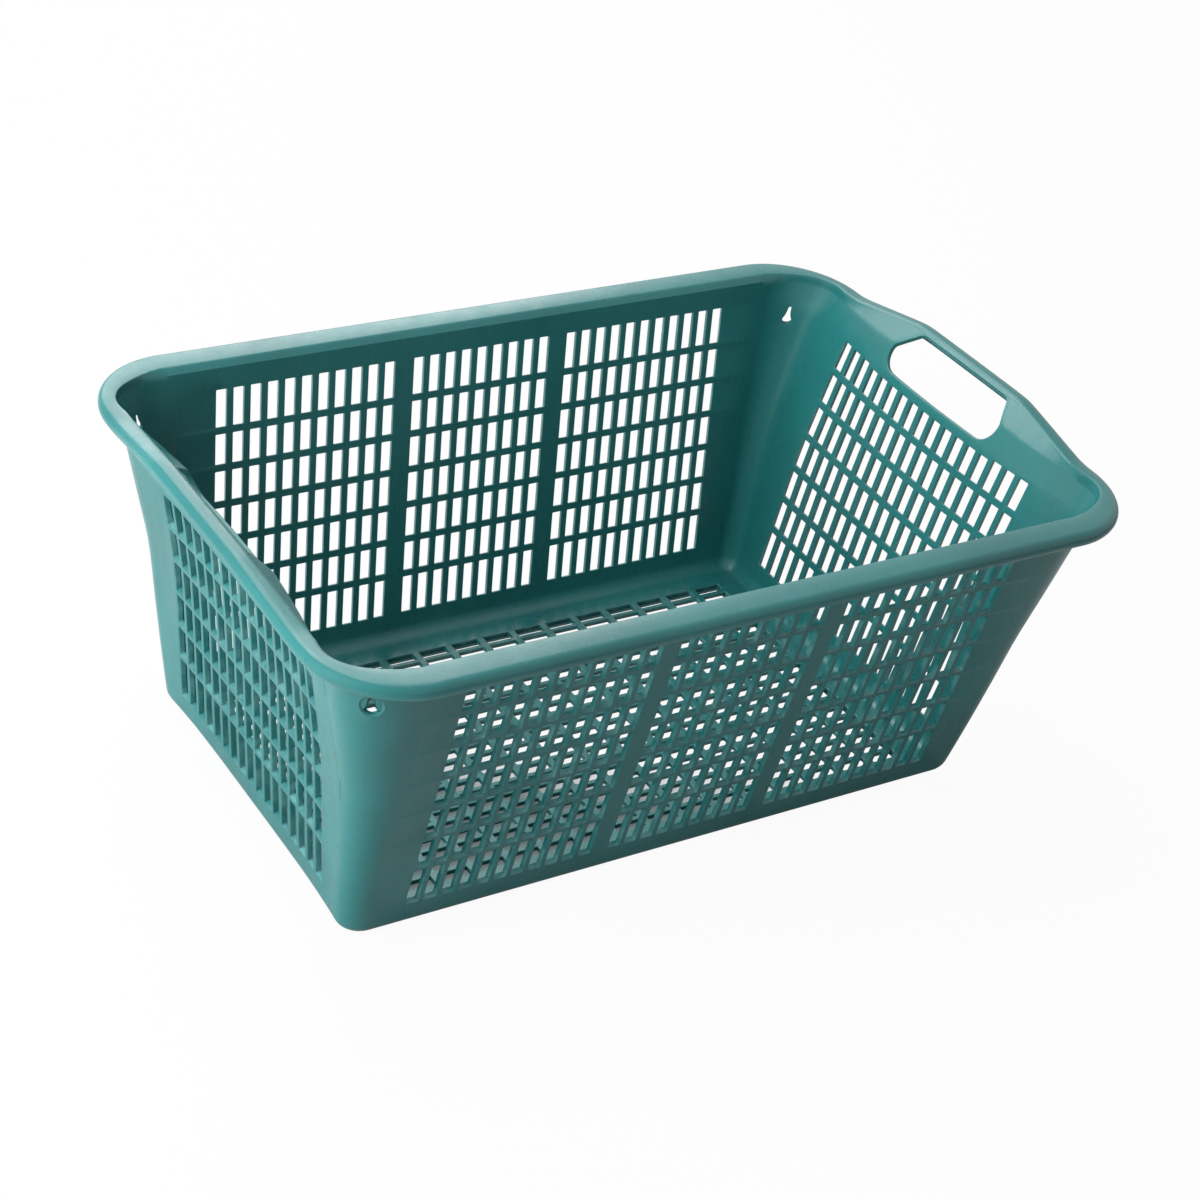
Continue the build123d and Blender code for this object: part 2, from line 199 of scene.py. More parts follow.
class RimSizes(PropertyGroup):
    """Hooked rim, flaps, hand holes and grips."""

    height: length("Rim height", "Height of the plain rim", 244.8)
    half_length: length("Rim half length", "Half length over the plain rim", 311.4)
    half_width: length("Rim half width", "Half width over the rim", 200.2)
    side_inner: length("Side inner edge", "Inner top edge of the rim on the long sides", 178.8)
    end_inner: length("End inner edge", "Inner top edge of the rim beside the grips", 297.9)
    corner_x: length("Rim corner x", "Centre of the rim's round corner along the basket", 246.7)
    corner_y: length("Rim corner y", "Centre of the rim's round corner across the basket", 135.57)
    corner_bevel: length("Corner bevel", "Width of the inner bevel on the corner's diagonal", 0.8)
    plate: length("Rim plate", "Thickness of the rim's top", 3)
    lip: length("Lip", "Thickness of the rim's lip", 2.6)
    lip_drop: length("Lip drop", "Depth of the plain rim's lip", 8.6)
    edge_radius: length("Edge radius", "Rounding of the rim's outer edge", 5.8)
    edge_turn: ratio("Edge turn", "Share of a quarter turn by which that edge rolls under", 0.45)
    inner_radius: length("Inner radius", "Rounding inside the hook of the rim", 3.4)
    crown: length("Crown", "How much the rim's top bulges", 0.3)
    fillet: length("Fillet", "Rounding under the rim", 1.5)
    crease_side: length("Side crease", "Height of the inner bevel's start on the long sides", 240.5)
    crease_grip: length("Grip crease", "Height of the flap's start at the hand hole", 241)
    crease_fall: ratio("Crease fall", "How fast the crease falls beside the hand hole", 0.043)
    crease_blend: ratio(
        "Crease blend", "Rounding of the crease, as a share of the wall over the lattice", 0.1)
    crease_flat: length("Crease level", "Half width over which the crease is level", 60)
    grip_half: length("Grip half width", "Half width of the level grip", 57)
    ramp_end: length("Ramp end", "Place across the basket where the ramp meets the plain rim", 125)
    ramp_softness: length("Ramp softness", "Rounding of the ramp's two ends", 6)
    grip_top: length("Grip top", "Height of the grip", 256.8)
    grip_inner: length("Grip inner edge", "Inner top edge of the grip", 305.7)
    grip_outer: length("Grip outer edge", "Outer edge of the grip", 316.6)
    grip_lip_drop: length("Grip lip drop", "Depth of the grip's lip", 12.8)
    hole_half: length("Hole half width", "Half width of the hand hole at the crease", 60.2)
    hole_top_half: length("Hole top half width", "Half width of the hand hole at its top", 47.6)
    hole_sill: length("Hole sill", "Height of the hand hole's lower edge", 225.2)
    hole_bar: length("Grip bar", "Flap left between the hand hole and the grip", 4.6)
    hole_round: length("Hole lower rounding", "Rounding of the hole's lower corners", 13)
    hole_top_round: length("Hole upper rounding", "Rounding of the hole's upper corners", 6)
    hole_edge: length("Hole edge", "Rounding of the hole's edges", 1.1)
    hole_zone: length("Hole zone", "Half width of the wall that carries the hole", 82)


class BasketFinish(PropertyGroup):
    """Colours of the moulded plastic."""

    body: colour("Body", "Petrol green of the plastic", (0.016, 0.150, 0.150, 1))
    cloud: colour("Cloud", "Darker clouds in the plastic", (0.012, 0.122, 0.124, 1))
    scuff: colour("Scuff", "Pale scuffs and worn edges", (0.16, 0.36, 0.36, 1))
    dust: colour("Dust", "Fine pale specks", (0.30, 0.46, 0.46, 1))


class StudioLevels(PropertyGroup):
    """Levels of the studio light."""

    key: power("Key", "Power of the low lamp at the left", 40)
    key_place: position("Key place", "Place of the low lamp at the left", (-1.4, 0.0, 0.55))
    key_size: length("Key size", "Side of the low lamp", 1400)
    back: power("Back", "Power of the wide lamp behind", 38)
    back_place: position("Back place", "Place of the wide lamp behind", (0.3, 1.8, 1.4))
    back_size: length("Back size", "Side of the wide lamp", 2000)
    top: power("Top", "Power of the lamp overhead", 18)
    top_place: position("Top place", "Place of the lamp overhead", (-0.3, 0.6, 1.9))
    top_size: length("Top size", "Side of the lamp overhead", 1200)
    fill: ratio("Fill", "Strength of the light from all round", 0.25)
    sheen: ratio("Sheen", "Strength of the white room in reflections", 1.0)
    white: ratio("Floor white", "Share of the floor seen as plain white", 0.95)
    under: ratio("Under white", "That share in the shade under the front left", 0.12)
    slant: ratio("Shade slant", "How much the edge of that shade turns", 0.5)
    dim_from: length("Shade from", "Place up to which that shade is full", -90)
    dim_to: length("Shade to", "Place where that shade ends", -30)
    pale: colour("Floor tone", "Tone of the floor in the open", (0.6, 0.6, 0.6, 1))
    shade: colour("Shade tone", "Tone of the floor in the shade", (0.06, 0.14, 0.14, 1))
    foot_x: length("Foot x", "Half length of the ground inside the foot", 240)
    foot_y: length("Foot y", "Half width of the ground inside the foot", 134)
    shade_width: length(
        "Shade width", "Width of the shaded ground along the inside of the foot", 20)


# Surfaces


def soft_ramp(value, softness):
    """Nought below zero and the value itself above it, rounded: (v + sqrt(v^2 + s^2)) / 2."""
    return 0.5 * (value + np.sqrt(value**2 + softness**2))


def partway(low, high, share):
    """Value at a share of the way between two: low + (high - low) * share."""
    return low + (high - low) * share


def unit(vectors):
    """Vectors divided by their own lengths."""
    return vectors / np.linalg.norm(vectors, axis=-1, keepdims=True)


def as_points(*coordinates):
    """Points from their coordinates, which are spread over one common grid."""
    return np.stack(np.broadcast_arrays(*coordinates), -1)


def with_third(flat, third):
    """Flat points with a third coordinate added."""
    return np.insert(flat, 2, third, axis=1)


def side_reach(tub, z):
    """Half width at a height: the foot plus the lean times the height."""
    return tub.side_foot + tub.side_lean * z


def end_bow(tub, z):
    """Hollow of an end wall at a height, as its factors on y squared and on y to the fourth."""
    bow = tub.bow * soft_ramp(z - tub.bow_start, tub.bow_softness)
    kick = tub.kick * (1 - tub.kick_loss * (z / tub.wall_top)**2)
    return bow, kick


def end_reach(tub, y, z):
    """Half length at a place: foot, lean times height, two extra leans higher up, and hollow."""
    sweep = tub.sweep * soft_ramp(z - tub.sweep_start, tub.sweep_softness)
    flare = tub.flare * soft_ramp(z - tub.flare_start, tub.flare_softness)
    bow, kick = end_bow(tub, z)
    return tub.end_foot + tub.end_lean * z + sweep + flare + bow * y**2 + kick * y**4


def corner_radius(tub, z):
    """Plan radius of a corner at a height: it grows with a power of the height."""
    return partway(tub.corner_low, tub.corner_high, (z / tub.wall_top)**tub.corner_power)


def corner_centre(tub, z):
    """Centre of a corner at a height, one radius inside the long wall and the end wall."""
    y = side_reach(tub, z) - corner_radius(tub, z)
    return end_reach(tub, y, z) - corner_radius(tub, z), y


def spread_margin(place, edge, foot, limit):
    """Keeps places inside the edge, and stretches the margin beyond it from the foot's limit to
    the given limit."""
    beyond = edge + (np.abs(place) - edge) * (limit - edge) / (foot - edge)
    return np.where(np.abs(place) > edge, np.sign(place) * beyond, place)


def field(count, pitch, size):
    """Length of a row of slots, from its first edge to its last: count - 1 pitches plus a slot."""
    return (count - 1) * pitch + size


def side_field(slots):
    """Half length of the three fields of slots on a long wall."""
    centre = field(slots.centre_columns, slots.side_pitch, slots.width)
    outer = field(slots.side_columns, slots.side_pitch, slots.width)
    return centre / 2 + slots.side_band + outer


def end_field(slots):
    """Half width of the field of slots on an end wall."""
    return field(slots.end_columns, slots.end_pitch, slots.width) / 2


def floor_half(slots):
    """Half length and half width of the floor lattice with its border."""
    half_x = field(slots.floor_columns, slots.floor_pitch_x, slots.floor_length) / 2
    half_y = field(slots.floor_rows, slots.floor_pitch_y, slots.floor_width) / 2
    return half_x + slots.floor_border, half_y + slots.floor_border


def side_surface(tub, slots):
    """Middle surface of the back wall: a leaning plane from corner to corner."""
    foot = corner_centre(tub, 0)[0]

    def surface(u, z):
        x = spread_margin(-u, side_field(slots), foot, corner_centre(tub, z)[0])
        return as_points(x, side_reach(tub, z), z)

    return surface


def end_surface(tub, slots):
    """Middle surface of the right end wall: x = reach at that place and height."""
    foot = corner_centre(tub, 0)[1]

    def surface(u, z):
        y = spread_margin(u, end_field(slots), foot, corner_centre(tub, z)[1])
        return as_points(end_reach(tub, y, z), y, z)

    return surface


def corner_surface(tub):
    """Middle surface of the back right corner: a quarter circle at each height, sheared by the
    slope of the hollow end so that the two meet smoothly."""

    def surface(turn, z):
        x, y = corner_centre(tub, z)
        radius = corner_radius(tub, z)
        bow, kick = end_bow(tub, z)
        shear = (2 * bow * y + 4 * kick * y**3) * radius
        slant = shear * np.cos(turn)**2 * np.sin(turn)
        return as_points(x + radius * np.cos(turn) + slant, y + radius * np.sin(turn), z)

    return surface


def offset_point(surface, u, v, w):
    """Point at a distance w outside a surface, along the cross product of its two slopes."""
    across = surface(u + NORMAL_STEP, v) - surface(u - NORMAL_STEP, v)
    up = surface(u, v + NORMAL_STEP) - surface(u, v - NORMAL_STEP)
    return surface(u, v) + unit(np.cross(across, up)) * np.asarray(w)[..., None]


# Mesh blocks


def grid_faces(rows, columns, close_rows=False, close_columns=False):
    """Four-sided faces of a grid of points, closed in either direction."""
    index = np.arange(rows * columns).reshape(rows, columns)
    if close_rows:
        index = np.vstack([index, index[:1]])
    if close_columns:
        index = np.hstack([index, index[:, :1]])
    around = [index[:-1, :-1], index[:-1, 1:], index[1:, 1:], index[1:, :-1]]
    return np.stack(around, -1).reshape(-1, 4)


def slab(inner, outer):
    """Closed slab between two grids of points: both faces, and a strip round their edges."""
    rows, columns = inner.shape[:2]
    count = rows * columns
    face = grid_faces(rows, columns)
    index = np.arange(count).reshape(rows, columns)
    loop = np.concatenate([index[0, :-1], index[:-1, -1], index[-1, :0:-1], index[:0:-1, 0]])
    ahead = np.roll(loop, -1)
    strip = np.stack([loop, ahead, ahead + count, loop + count], -1)
    points = np.concatenate([inner.reshape(-1, 3), outer.reshape(-1, 3)])
    return points, [face, face + count, strip]


def ring(sections):
    """Closed ring of closed sections, joined round both ways."""
    return sections.reshape(-1, 3), [grid_faces(*sections.shape[:2], True, True)]


def capped_sweep(sections):
    """Closed sections carried along an open path, with a flat cap at each end."""
    rows, columns = sections.shape[:2]
    caps = np.stack([np.arange(columns), np.arange(columns) + (rows - 1) * columns])
    return sections.reshape(-1, 3), [grid_faces(rows, columns, False, True), caps]


def together(blocks):
    """Joins blocks of points and faces into one list of each."""
    starts = np.cumsum([0] + [len(points) for points, _ in blocks])
    faces = [face + start for (_, lists), start in zip(blocks, starts) for face in lists]
    return np.concatenate([points for points, _ in blocks]), faces


def weld(points, faces):
    """Merges points within a micron, and drops the walls that two blocks share."""
    key = np.round(points / MERGE).astype(np.int64)
    _, first, kept = np.unique(key, axis=0, return_index=True, return_inverse=True)
    rows = [row for face in faces for row in kept.ravel()[face].tolist()]
    polygons = [tuple(dict.fromkeys(row)) for row in rows]
    polygons = [polygon for polygon in polygons if len(polygon) > 2]
    shared = Counter(frozenset(polygon) for polygon in polygons)
    return first, [polygon for polygon in polygons if shared[frozenset(polygon)] == 1]


def add_piece(name, block, nodes, mirror=(1, 1), wear=None):
    """Makes a block a mesh object that rides on the frame and stands for its CAD nodes."""
    points, faces = block
    first, polygons = weld(points, faces)
    mesh = bpy.data.meshes.new(name)
    mesh.from_pydata((points[first] * np.array([*mirror, 1])).tolist(), [], polygons)
    shell = bmesh.new()
    shell.from_mesh(mesh)
    bmesh.ops.recalc_face_normals(shell, faces=shell.faces)
    shell.to_mesh(mesh)
    shell.free()
    edges = np.zeros(len(points)) if wear is None else wear
    attribute = mesh.attributes.new(WEAR, "FLOAT", "POINT")
    attribute.data.foreach_set("value", edges[first].astype(np.float32))
    mesh.shade_smooth()
    mesh.set_sharp_from_angle(angle=SHARP_ANGLE)
    piece = bpy.data.objects.new(name, mesh)
    bpy.context.scene.collection.objects.link(piece)
    mesh.materials.append(plastic())
    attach(piece, "root")
    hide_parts(*nodes)


# Lattice


# A cell has four lines each way: its two bounds and the slot's two corner lines. The points of a
# slotted cell run round its inner face, round its outer face, and then round the slot four times
# from the inside to the outside. Only the two rounds in the middle of the slot are worn.
LINES = 4
AROUND = 12
EIGHT = 8
ROUNDS = 4
CELL_COUNTS = [AROUND] * 2 + [EIGHT] * ROUNDS
SLOT_STARTS = [2 * AROUND + EIGHT * number for number in range(ROUNDS)]
SLOT_WEAR = [0.0, 0.0, 0.0, 1.0, 1.0, 0.0]
OUTLINE_U = [0, 1, 2, 3, 3, 3, 3, 2, 1, 0, 0, 0]
OUTLINE_V = [0, 0, 0, 0, 1, 2, 3, 3, 3, 3, 2, 1]


def octagon(low, high, grow, cut):
    """Slot outline, as its places along and up: a grown rectangle with its corners cut."""
    (low_u, low_v), (high_u, high_v) = low, high
    low_u, high_u = low_u - grow[0], high_u + grow[0]
    low_v, high_v = low_v - grow[1], high_v + grow[1]
    u = [low_u + cut, high_u - cut, high_u, high_u, high_u - cut, low_u + cut, low_u, low_u]
    v = [low_v, low_v, low_v + cut, high_v - cut, high_v, high_v, high_v - cut, low_v + cut]
    return np.stack(u, -1), np.stack(v, -1)


def cell_faces():
    """Faces of one slotted cell: both faces round the slot, and three bands through the wall."""
    sides = np.arange(4)
    flat, corner = [], []
    for start, slot in ((0, SLOT_STARTS[0]), (AROUND, SLOT_STARTS[-1])):
        a, b, c, d = (start + (3 * sides + step) % AROUND for step in (1, 2, 3, 4))
        near, far, turn = (slot + (2 * sides + step) % EIGHT for step in (0, 1, 2))
        flat.append(np.stack([a, b, far, near], -1))
        corner.append(np.stack([b, c, d, turn, far], -1))
    eight = np.arange(EIGHT)
    ahead = (eight + 1) % EIGHT
    bands = [np.stack([low + eight, low + ahead, high + ahead, high + eight], -1)
             for low, high in zip(SLOT_STARTS, SLOT_STARTS[1:])]
    return np.concatenate(flat + bands), np.concatenate(corner)


def lattice(place, columns, rows, corners, slots, thickness, flare, plain=()):
    """Slotted wall: each cell of a grid has a bevelled slot that widens outwards by the flare.

    place(u, v, w) gives a point from the place along, the height and the distance from the middle
    of the wall. The columns named as plain have no slots.
    """
    half, bevel = thickness / 2, slots.bevel
    has_slot = np.ones((len(columns), len(rows)), bool)
    has_slot[list(plain)] = False
    i, j = np.nonzero(has_slot)
    edge_u, edge_v = columns[i][:, OUTLINE_U], rows[j][:, OUTLINE_V]
    levels = [((bevel, bevel), -half), ((0, 0), bevel - half), (flare, half - bevel),
              ((flare[0] + bevel, flare[1] + bevel), half)]
    low, high = (corner[i, j].T for corner in corners)
    eights = [octagon(low, high, grow, slots.cut) for grow, _ in levels]
    u = np.concatenate([edge_u, edge_u] + [eight[0] for eight in eights], 1)
    v = np.concatenate([edge_v, edge_v] + [eight[1] for eight in eights], 1)
    depth = np.repeat([-half, half] + [w for _, w in levels], CELL_COUNTS)
    points = place(u, v, np.broadcast_to(depth, u.shape)).reshape(-1, 3)
    start = np.arange(len(i))[:, None, None] * u.shape[1]
    quads, fives = cell_faces()
    blocks = [(points, [(quads + start).reshape(-1, 4), (fives + start).reshape(-1, 5)])]
    wear = [np.tile(np.repeat(SLOT_WEAR, CELL_COUNTS), len(i))]
    i, j = np.nonzero(~has_slot)
    if len(i):
        u, v, w = np.broadcast_arrays(columns[i][:, None, :, None], rows[j][:, None, None, :],
                                      np.array([-half, half])[:, None, None])
        faces = grid_faces(LINES, LINES) + np.arange(2 * len(i))[:, None, None] * LINES**2
        blocks.append((place(u, v, w).reshape(-1, 3), [faces.reshape(-1, 4)]))
        wear.append(np.zeros(u.size))
    along, up = np.unique(columns), np.unique(rows)
    for line in ((along, up[:1]), (along, up[-1:]), (along[:1], up), (along[-1:], up)):
        u, v, w = np.broadcast_arrays(*line, np.array([[-half], [half]]))
        blocks.append((place(u, v, w).reshape(-1, 3), [grid_faces(*u.shape)]))
        wear.append(np.zeros(u.size))
    return together(blocks), np.concatenate(wear)


def spaced(count, pitch):
    """Evenly spaced places about nought."""
    return (np.arange(count) - (count - 1) / 2) * pitch


def slot_spans(centres, size):
    """Lower and upper edges of slots of one size at their centres."""
    return centres - size / 2, centres + size / 2


def row_spans(slots, middle, pitch, bottom_extra, top_extra):
    """Edges of each row of slots; the bottom row reaches lower and the top row higher."""
    low, high = slot_spans(middle + spaced(slots.rows, pitch), slots.height)
    low[0] -= bottom_extra
    high[-1] += top_extra
    return low, high


def cells(spans, start, stop, cut):
    """Bounds of the cells round slots, halfway between neighbours, with the slots' corner lines."""
    low, high = spans
    ends = np.concatenate([[start], (low[1:] + high[:-1]) / 2, [stop]])
    return np.stack([ends[:-1], low + cut, high - cut, ends[1:]], -1)


def slot_corners(across, up):
    """Lower and upper corners of every slot of a field, indexed by column and row."""
    return [np.stack(np.meshgrid(u, v, indexing="ij"), -1) for u, v in zip(across, up)]


def side_wall(tub, slots):
    """Long wall with its three fields of slots."""
    centre = spaced(slots.centre_columns, slots.side_pitch)
    outer = spaced(slots.side_columns, slots.side_pitch)
    shift = side_field(slots) - slots.width / 2 - outer[-1]
    across = slot_spans(np.concatenate([outer - shift, centre, outer + shift]), slots.width)
    up = row_spans(slots, slots.side_row, slots.side_row_pitch, slots.side_bottom_extra,
                   slots.side_top_extra)
    limit = corner_centre(tub, 0)[0]
    columns = cells(across, -limit, limit, slots.cut)
    rows = cells(up, tub.foot_height, tub.wall_top, slots.cut)
    place = partial(offset_point, side_surface(tub, slots))
    return lattice(place, columns, rows, slot_corners(across, up), slots, tub.thickness,
                   (slots.flare_across, slots.flare_up))


def end_wall(tub, slots):
    """End wall with one field of slots, the outer top ones taller, and a plain margin at each
    side, which has slot corners too, so that columns and corners match, but no slots."""
    across = slot_spans(spaced(slots.end_columns, slots.end_pitch), slots.width)
    up = row_spans(slots, slots.end_row, slots.end_row_pitch, slots.end_bottom_extra,
                   slots.end_top_extra)
    edge = end_field(slots) + (slots.end_pitch - slots.width) / 2
    margin = np.linspace(edge, corner_centre(tub, 0)[1], LINES)[None]
    columns = cells(across, -edge, edge, slots.cut)
    columns = np.concatenate([-margin[:, ::-1], columns, margin])
    rows = cells(up, tub.foot_height, tub.end_top, slots.cut)
    near, far = slot_corners(np.pad(across, ((0, 0), (1, 1)), "edge"), up)
    from_middle = np.abs(spaced(len(columns), 1))
    far[from_middle > slots.end_columns / 2 - slots.end_tall_columns, -1, 1] += slots.end_tall_extra
    place = partial(offset_point, end_surface(tub, slots))
    return lattice(place, columns, rows, (near, far), slots, tub.thickness,
                   (slots.flare_across, slots.flare_up), plain=(0, -1))


def floor_grid(tub, slots):
    """Flat floor lattice, its slots widening downwards."""
    across = slot_spans(spaced(slots.floor_columns, slots.floor_pitch_x), slots.floor_length)
    up = slot_spans(spaced(slots.floor_rows, slots.floor_pitch_y), slots.floor_width)
    half_x, half_y = floor_half(slots)
    columns = cells(across, -half_x, half_x, slots.cut)
    rows = cells(up, -half_y, half_y, slots.cut)
    return lattice(lambda u, v, w: as_points(u, v, tub.floor / 2 - w), columns, rows,
                   slot_corners(across, up), slots, tub.floor, (slots.floor_flare,) * 2)


# Foot and corners


LOWER_LEFT = -3 * math.pi / 4     # direction of the point where an outline starts
KEYHOLE_SAMPLES = 400             # points up a side of the keyhole before they are evened out
KEYHOLE_HOLLOW = 2.2              # power by which the keyhole narrows to its neck
KEYHOLE_ROWS = (0, 0.25, 0.6, 1)  # rows of points, from the hole's edge 0 to its patch's edge 1
HAND_HOLE_ROWS = (0, 0.2, 0.5, 1)
EDGE_ANGLES = (QUARTER / 3, QUARTER * 2 / 3, QUARTER)  # points round the edge of a hole


def all_round(quarter):
    """Mirrors a quarter loop of sections, from the right end to the back, into the whole loop."""
    turned = quarter[::-1]
    signs = [(1, 1), (-1, 1), (-1, -1), (1, -1)]
    parts = zip((quarter, turned, quarter, turned), signs)
    return np.concatenate([part * np.array([*sign, 1]) for part, sign in parts])


def foot_ring(tub, slots, steps=16, arc=8):
    """Foot band: at each height the wall's plan, moved in or out level, so that a cove rounds off
    the floor inside and an arc rounds off the edge outside.

    A quarter runs from the middle of the end, round the corner, to the middle of the back.
    """
    share = np.linspace(0, 1, steps + 1)[:, None]
    half = tub.thickness / 2
    cove, edge = tub.cove_radius, tub.foot_radius
    bend = np.linspace(QUARTER, 0, arc + 1)
    back = bend[::-1]
    z = np.concatenate([tub.floor + cove * (1 - np.sin(bend)), edge * (1 - np.sin(back))])
    w = np.concatenate([-half - cove * (1 - np.cos(bend)), half - edge * (1 - np.cos(back))])
    limit_x, limit_y = corner_centre(tub, 0)
    skins = np.broadcast_to([-half, half], (steps + 1, 2))
    loops = []
    for surface, u in ((end_surface(tub, slots), share * limit_y),
                       (corner_surface(tub), share * QUARTER),
                       (side_surface(tub, slots), (share - 1) * limit_x)):
        along = surface(u + NORMAL_STEP, z) - surface(u - NORMAL_STEP, z)
        level = unit(as_points(along[..., 1], -along[..., 0], 0.0))
        band = surface(u, z) + level * w[:, None]
        top = offset_point(surface, u, np.full(2, tub.foot_height), skins)
        square = np.minimum(surface(u[:, 0], np.zeros(len(u)))[:, :2], floor_half(slots))
        above, below = (with_third(square, height)[:, None] for height in (tub.floor, 0.0))
        loops.append(np.concatenate([above, band[:, :arc + 1], top, band[:, arc + 1:], below], 1))
    return ring(all_round(np.concatenate(loops)))


def even_points(run, count):
    """Points at even distances along a run of points, without its last one."""
    travel = np.concatenate([[0], np.cumsum(np.linalg.norm(np.diff(run, axis=0), axis=1))])
    even = np.linspace(0, travel[-1], count + 1)[:-1]
    return np.stack([np.interp(even, travel, run[:, k]) for k in range(2)], -1)


def keyhole_outline(slots, count):
    """Keyhole outline: a round end that narrows in a hollow curve to a thin neck with a round tip,
    as evenly spaced points from the lower left."""
    wide, thin, tall = slots.keyhole_radius, slots.keyhole_neck, slots.keyhole_length
    rise = -wide + np.linspace(0, 1, KEYHOLE_SAMPLES) * (tall + thin + wide)
    ball = np.sqrt(np.clip(wide**2 - rise**2, 0, None))
    neck = partway(thin, wide, (1 - np.clip(rise / tall, 0, 1))**KEYHOLE_HOLLOW)
    tip = np.sqrt(np.clip(thin**2 - np.clip(rise - tall, 0, None)**2, 0, None))
    width = np.where(rise < 0, ball, np.where(rise < tall, neck, tip))
    right, left = np.stack([width, rise], -1), np.stack([-width, rise], -1)
    outline = np.concatenate([right, left[::-1][1:-1]])
    start = np.argmin(np.abs(np.arctan2(outline[:, 1], outline[:, 0]) - LOWER_LEFT))
    outline = np.roll(outline, -start, axis=0)
    return even_points(np.concatenate([outline, outline[:1]]), count)


def box_outline(low, high, across, up):
    """Points round a rectangle from its lower left corner, with the given steps across and up."""
    u = np.linspace(low[0], high[0], across + 1)
    v = np.linspace(low[1], high[1], up + 1)
    runs = [(u[:-1], low[1]), (high[0], v[:-1]), (u[:0:-1], high[1]), (low[0], v[:0:-1])]
    return np.concatenate([as_points(*run) for run in runs])


def outward(outline):
    """Unit vectors that point out of a closed outline that runs anticlockwise."""
    along = np.roll(outline, -1, axis=0) - np.roll(outline, 1, axis=0)
    return unit(np.stack([along[:, 1], -along[:, 0]], -1))


def holed_ring(hole, frame_line, edge, half, shares, scale=(1, 1), flare=0, outer=None):
    """Wall round a hole, as rows of (u, v, w): in from the frame, through the rounded hole, and
    out to the frame.

    The hole may widen outwards by a flare, and the outer face may have rows of its own.
    """
    away = outward(hole * np.array(scale)) / np.array(scale)
    rows = []
    for side, mouth in ((-1, hole), (1, hole + away * flare)):
        lip = mouth + away * edge
        face = [with_third(partway(lip, frame_line, share), side * half) for share in shares]
        bend = [with_third(mouth + away * edge * (1 - math.sin(angle)),
                           side * (half - edge * (1 - math.cos(angle)))) for angle in EDGE_ANGLES]
        if side < 0:
            rows += face[::-1] + bend
        elif outer is None:
            rows += bend[::-1] + face
        else:
            sunk = [row + (outer[0][:, 2:] - half) * [0, 0, 1] for row in bend[::-1] + face[:1]]
            rows += sunk + list(outer) + face[-1:]
    return np.stack(rows)


def corner_post(tub, slots, steps=24, zone=10, below=16, above=3):
    """Rounded corner from foot to rim, with its keyhole in an oval recess in the outer face.

    The keyhole's patch is zone steps wide and high; below and above are the steps up to it and
    from it to the top.
    """
    half = tub.thickness / 2
    place = partial(offset_point, corner_surface(tub))

    def part(turns, heights):
        turn, z = np.meshgrid(turns, heights, indexing="ij")
        return slab(*(place(turn, z, np.full(turn.shape, w)) for w in (-half, half)))

    turns = np.linspace(0, QUARTER, steps + 1)
    middle = round(slots.keyhole_turn * steps)
    first, last = middle - zone // 2, middle + zone // 2
    centre = np.array([turns[middle], slots.keyhole_height + slots.keyhole_length / 2])
    low, high = centre[1] - slots.keyhole_patch, centre[1] + slots.keyhole_patch
    heights = np.linspace(low, high, zone + 1)
    scale = np.array([corner_radius(tub, slots.keyhole_height), 1])
    hole = keyhole_outline(slots, 4 * zone) / scale
    hole = hole + np.array([centre[0], slots.keyhole_height])
    frame_line = box_outline((turns[first], low), (turns[last], high), zone, zone)
    angle = np.linspace(0, 2 * math.pi, 4 * zone + 1)[:-1] + LOWER_LEFT
    circle = np.stack([np.cos(angle), np.sin(angle)], -1) / scale
    oval = np.array([slots.recess_width, slots.recess_height])
    recess = [with_third(centre + circle * (oval + grow), half - sink)
              for grow, sink in ((-slots.recess_edge, slots.recess_depth), (0, 0))]
    rows = holed_ring(hole, frame_line, slots.keyhole_edge, half, KEYHOLE_ROWS, scale,
                      slots.keyhole_flare, recess)
    return together([part(turns, np.linspace(tub.foot_height, low, below + 1)),
                     part(turns[:first + 1], heights), ring(place(*np.moveaxis(rows, -1, 0))),
                     part(turns[last:], heights),
                     part(turns, np.linspace(high, tub.wall_top, above + 1))])


# Rim and grips


CREASE_SOFTNESS = 4 * MM     # how gently the crease begins to fall
CREASE_LEAST = 0.04          # share of the crease's rounding that is left at the corner
CREASE_MITRE = 0.3           # how much lower the crease is outside, as a share of the wall
TOP_ROUND = 1.2 * MM         # rounding of the rim's inner top edge
EDGE_POINTS = 9              # points round the rim's outer edge
HOOK_POINTS = 5              # points round the inside of the hook
LIP_BEAD = 0.3               # rounding of the lip's end, as a share of the lip
FILLET_MIDDLE = (0.3, 0.25)  # middle of the fillet under the rim, as shares of the fillet
CORNER_SAMPLES = 91          # points of a corner's curve from which its distance is read
RAMP_ZONE = 12 * MM          # reach of the close steps round each end of a ramp
GRIP_STEPS = (6, 12, 6, 12)  # steps on the level grip, round its end, on the ramp and beyond it
GRIP_UNDER = 0.5 * MM        # step from the flap's outside to the fillet under a grip
HOLE_CREASE_ROUND = 3 * MM   # rounding of the hand hole's outline where it crosses the crease
HOLE_MARK = 0.3              # place of a rounded corner's middle, as a share of its radius


def ramp_share(rim, y):
    """How far the rim has risen to the grip: nought at the corner, one on the grip, and rounded
    at both ends of the ramp."""
    run = rim.ramp_end - rim.grip_half
    soft = rim.ramp_softness

    def risen(place):
        gone = np.abs(place) - rim.grip_half
        return 1 - (soft_ramp(gone, soft) - soft_ramp(gone - run, soft)) / run

    tail = risen(rim.corner_y)
    return (risen(y) - tail) / (1 - tail)


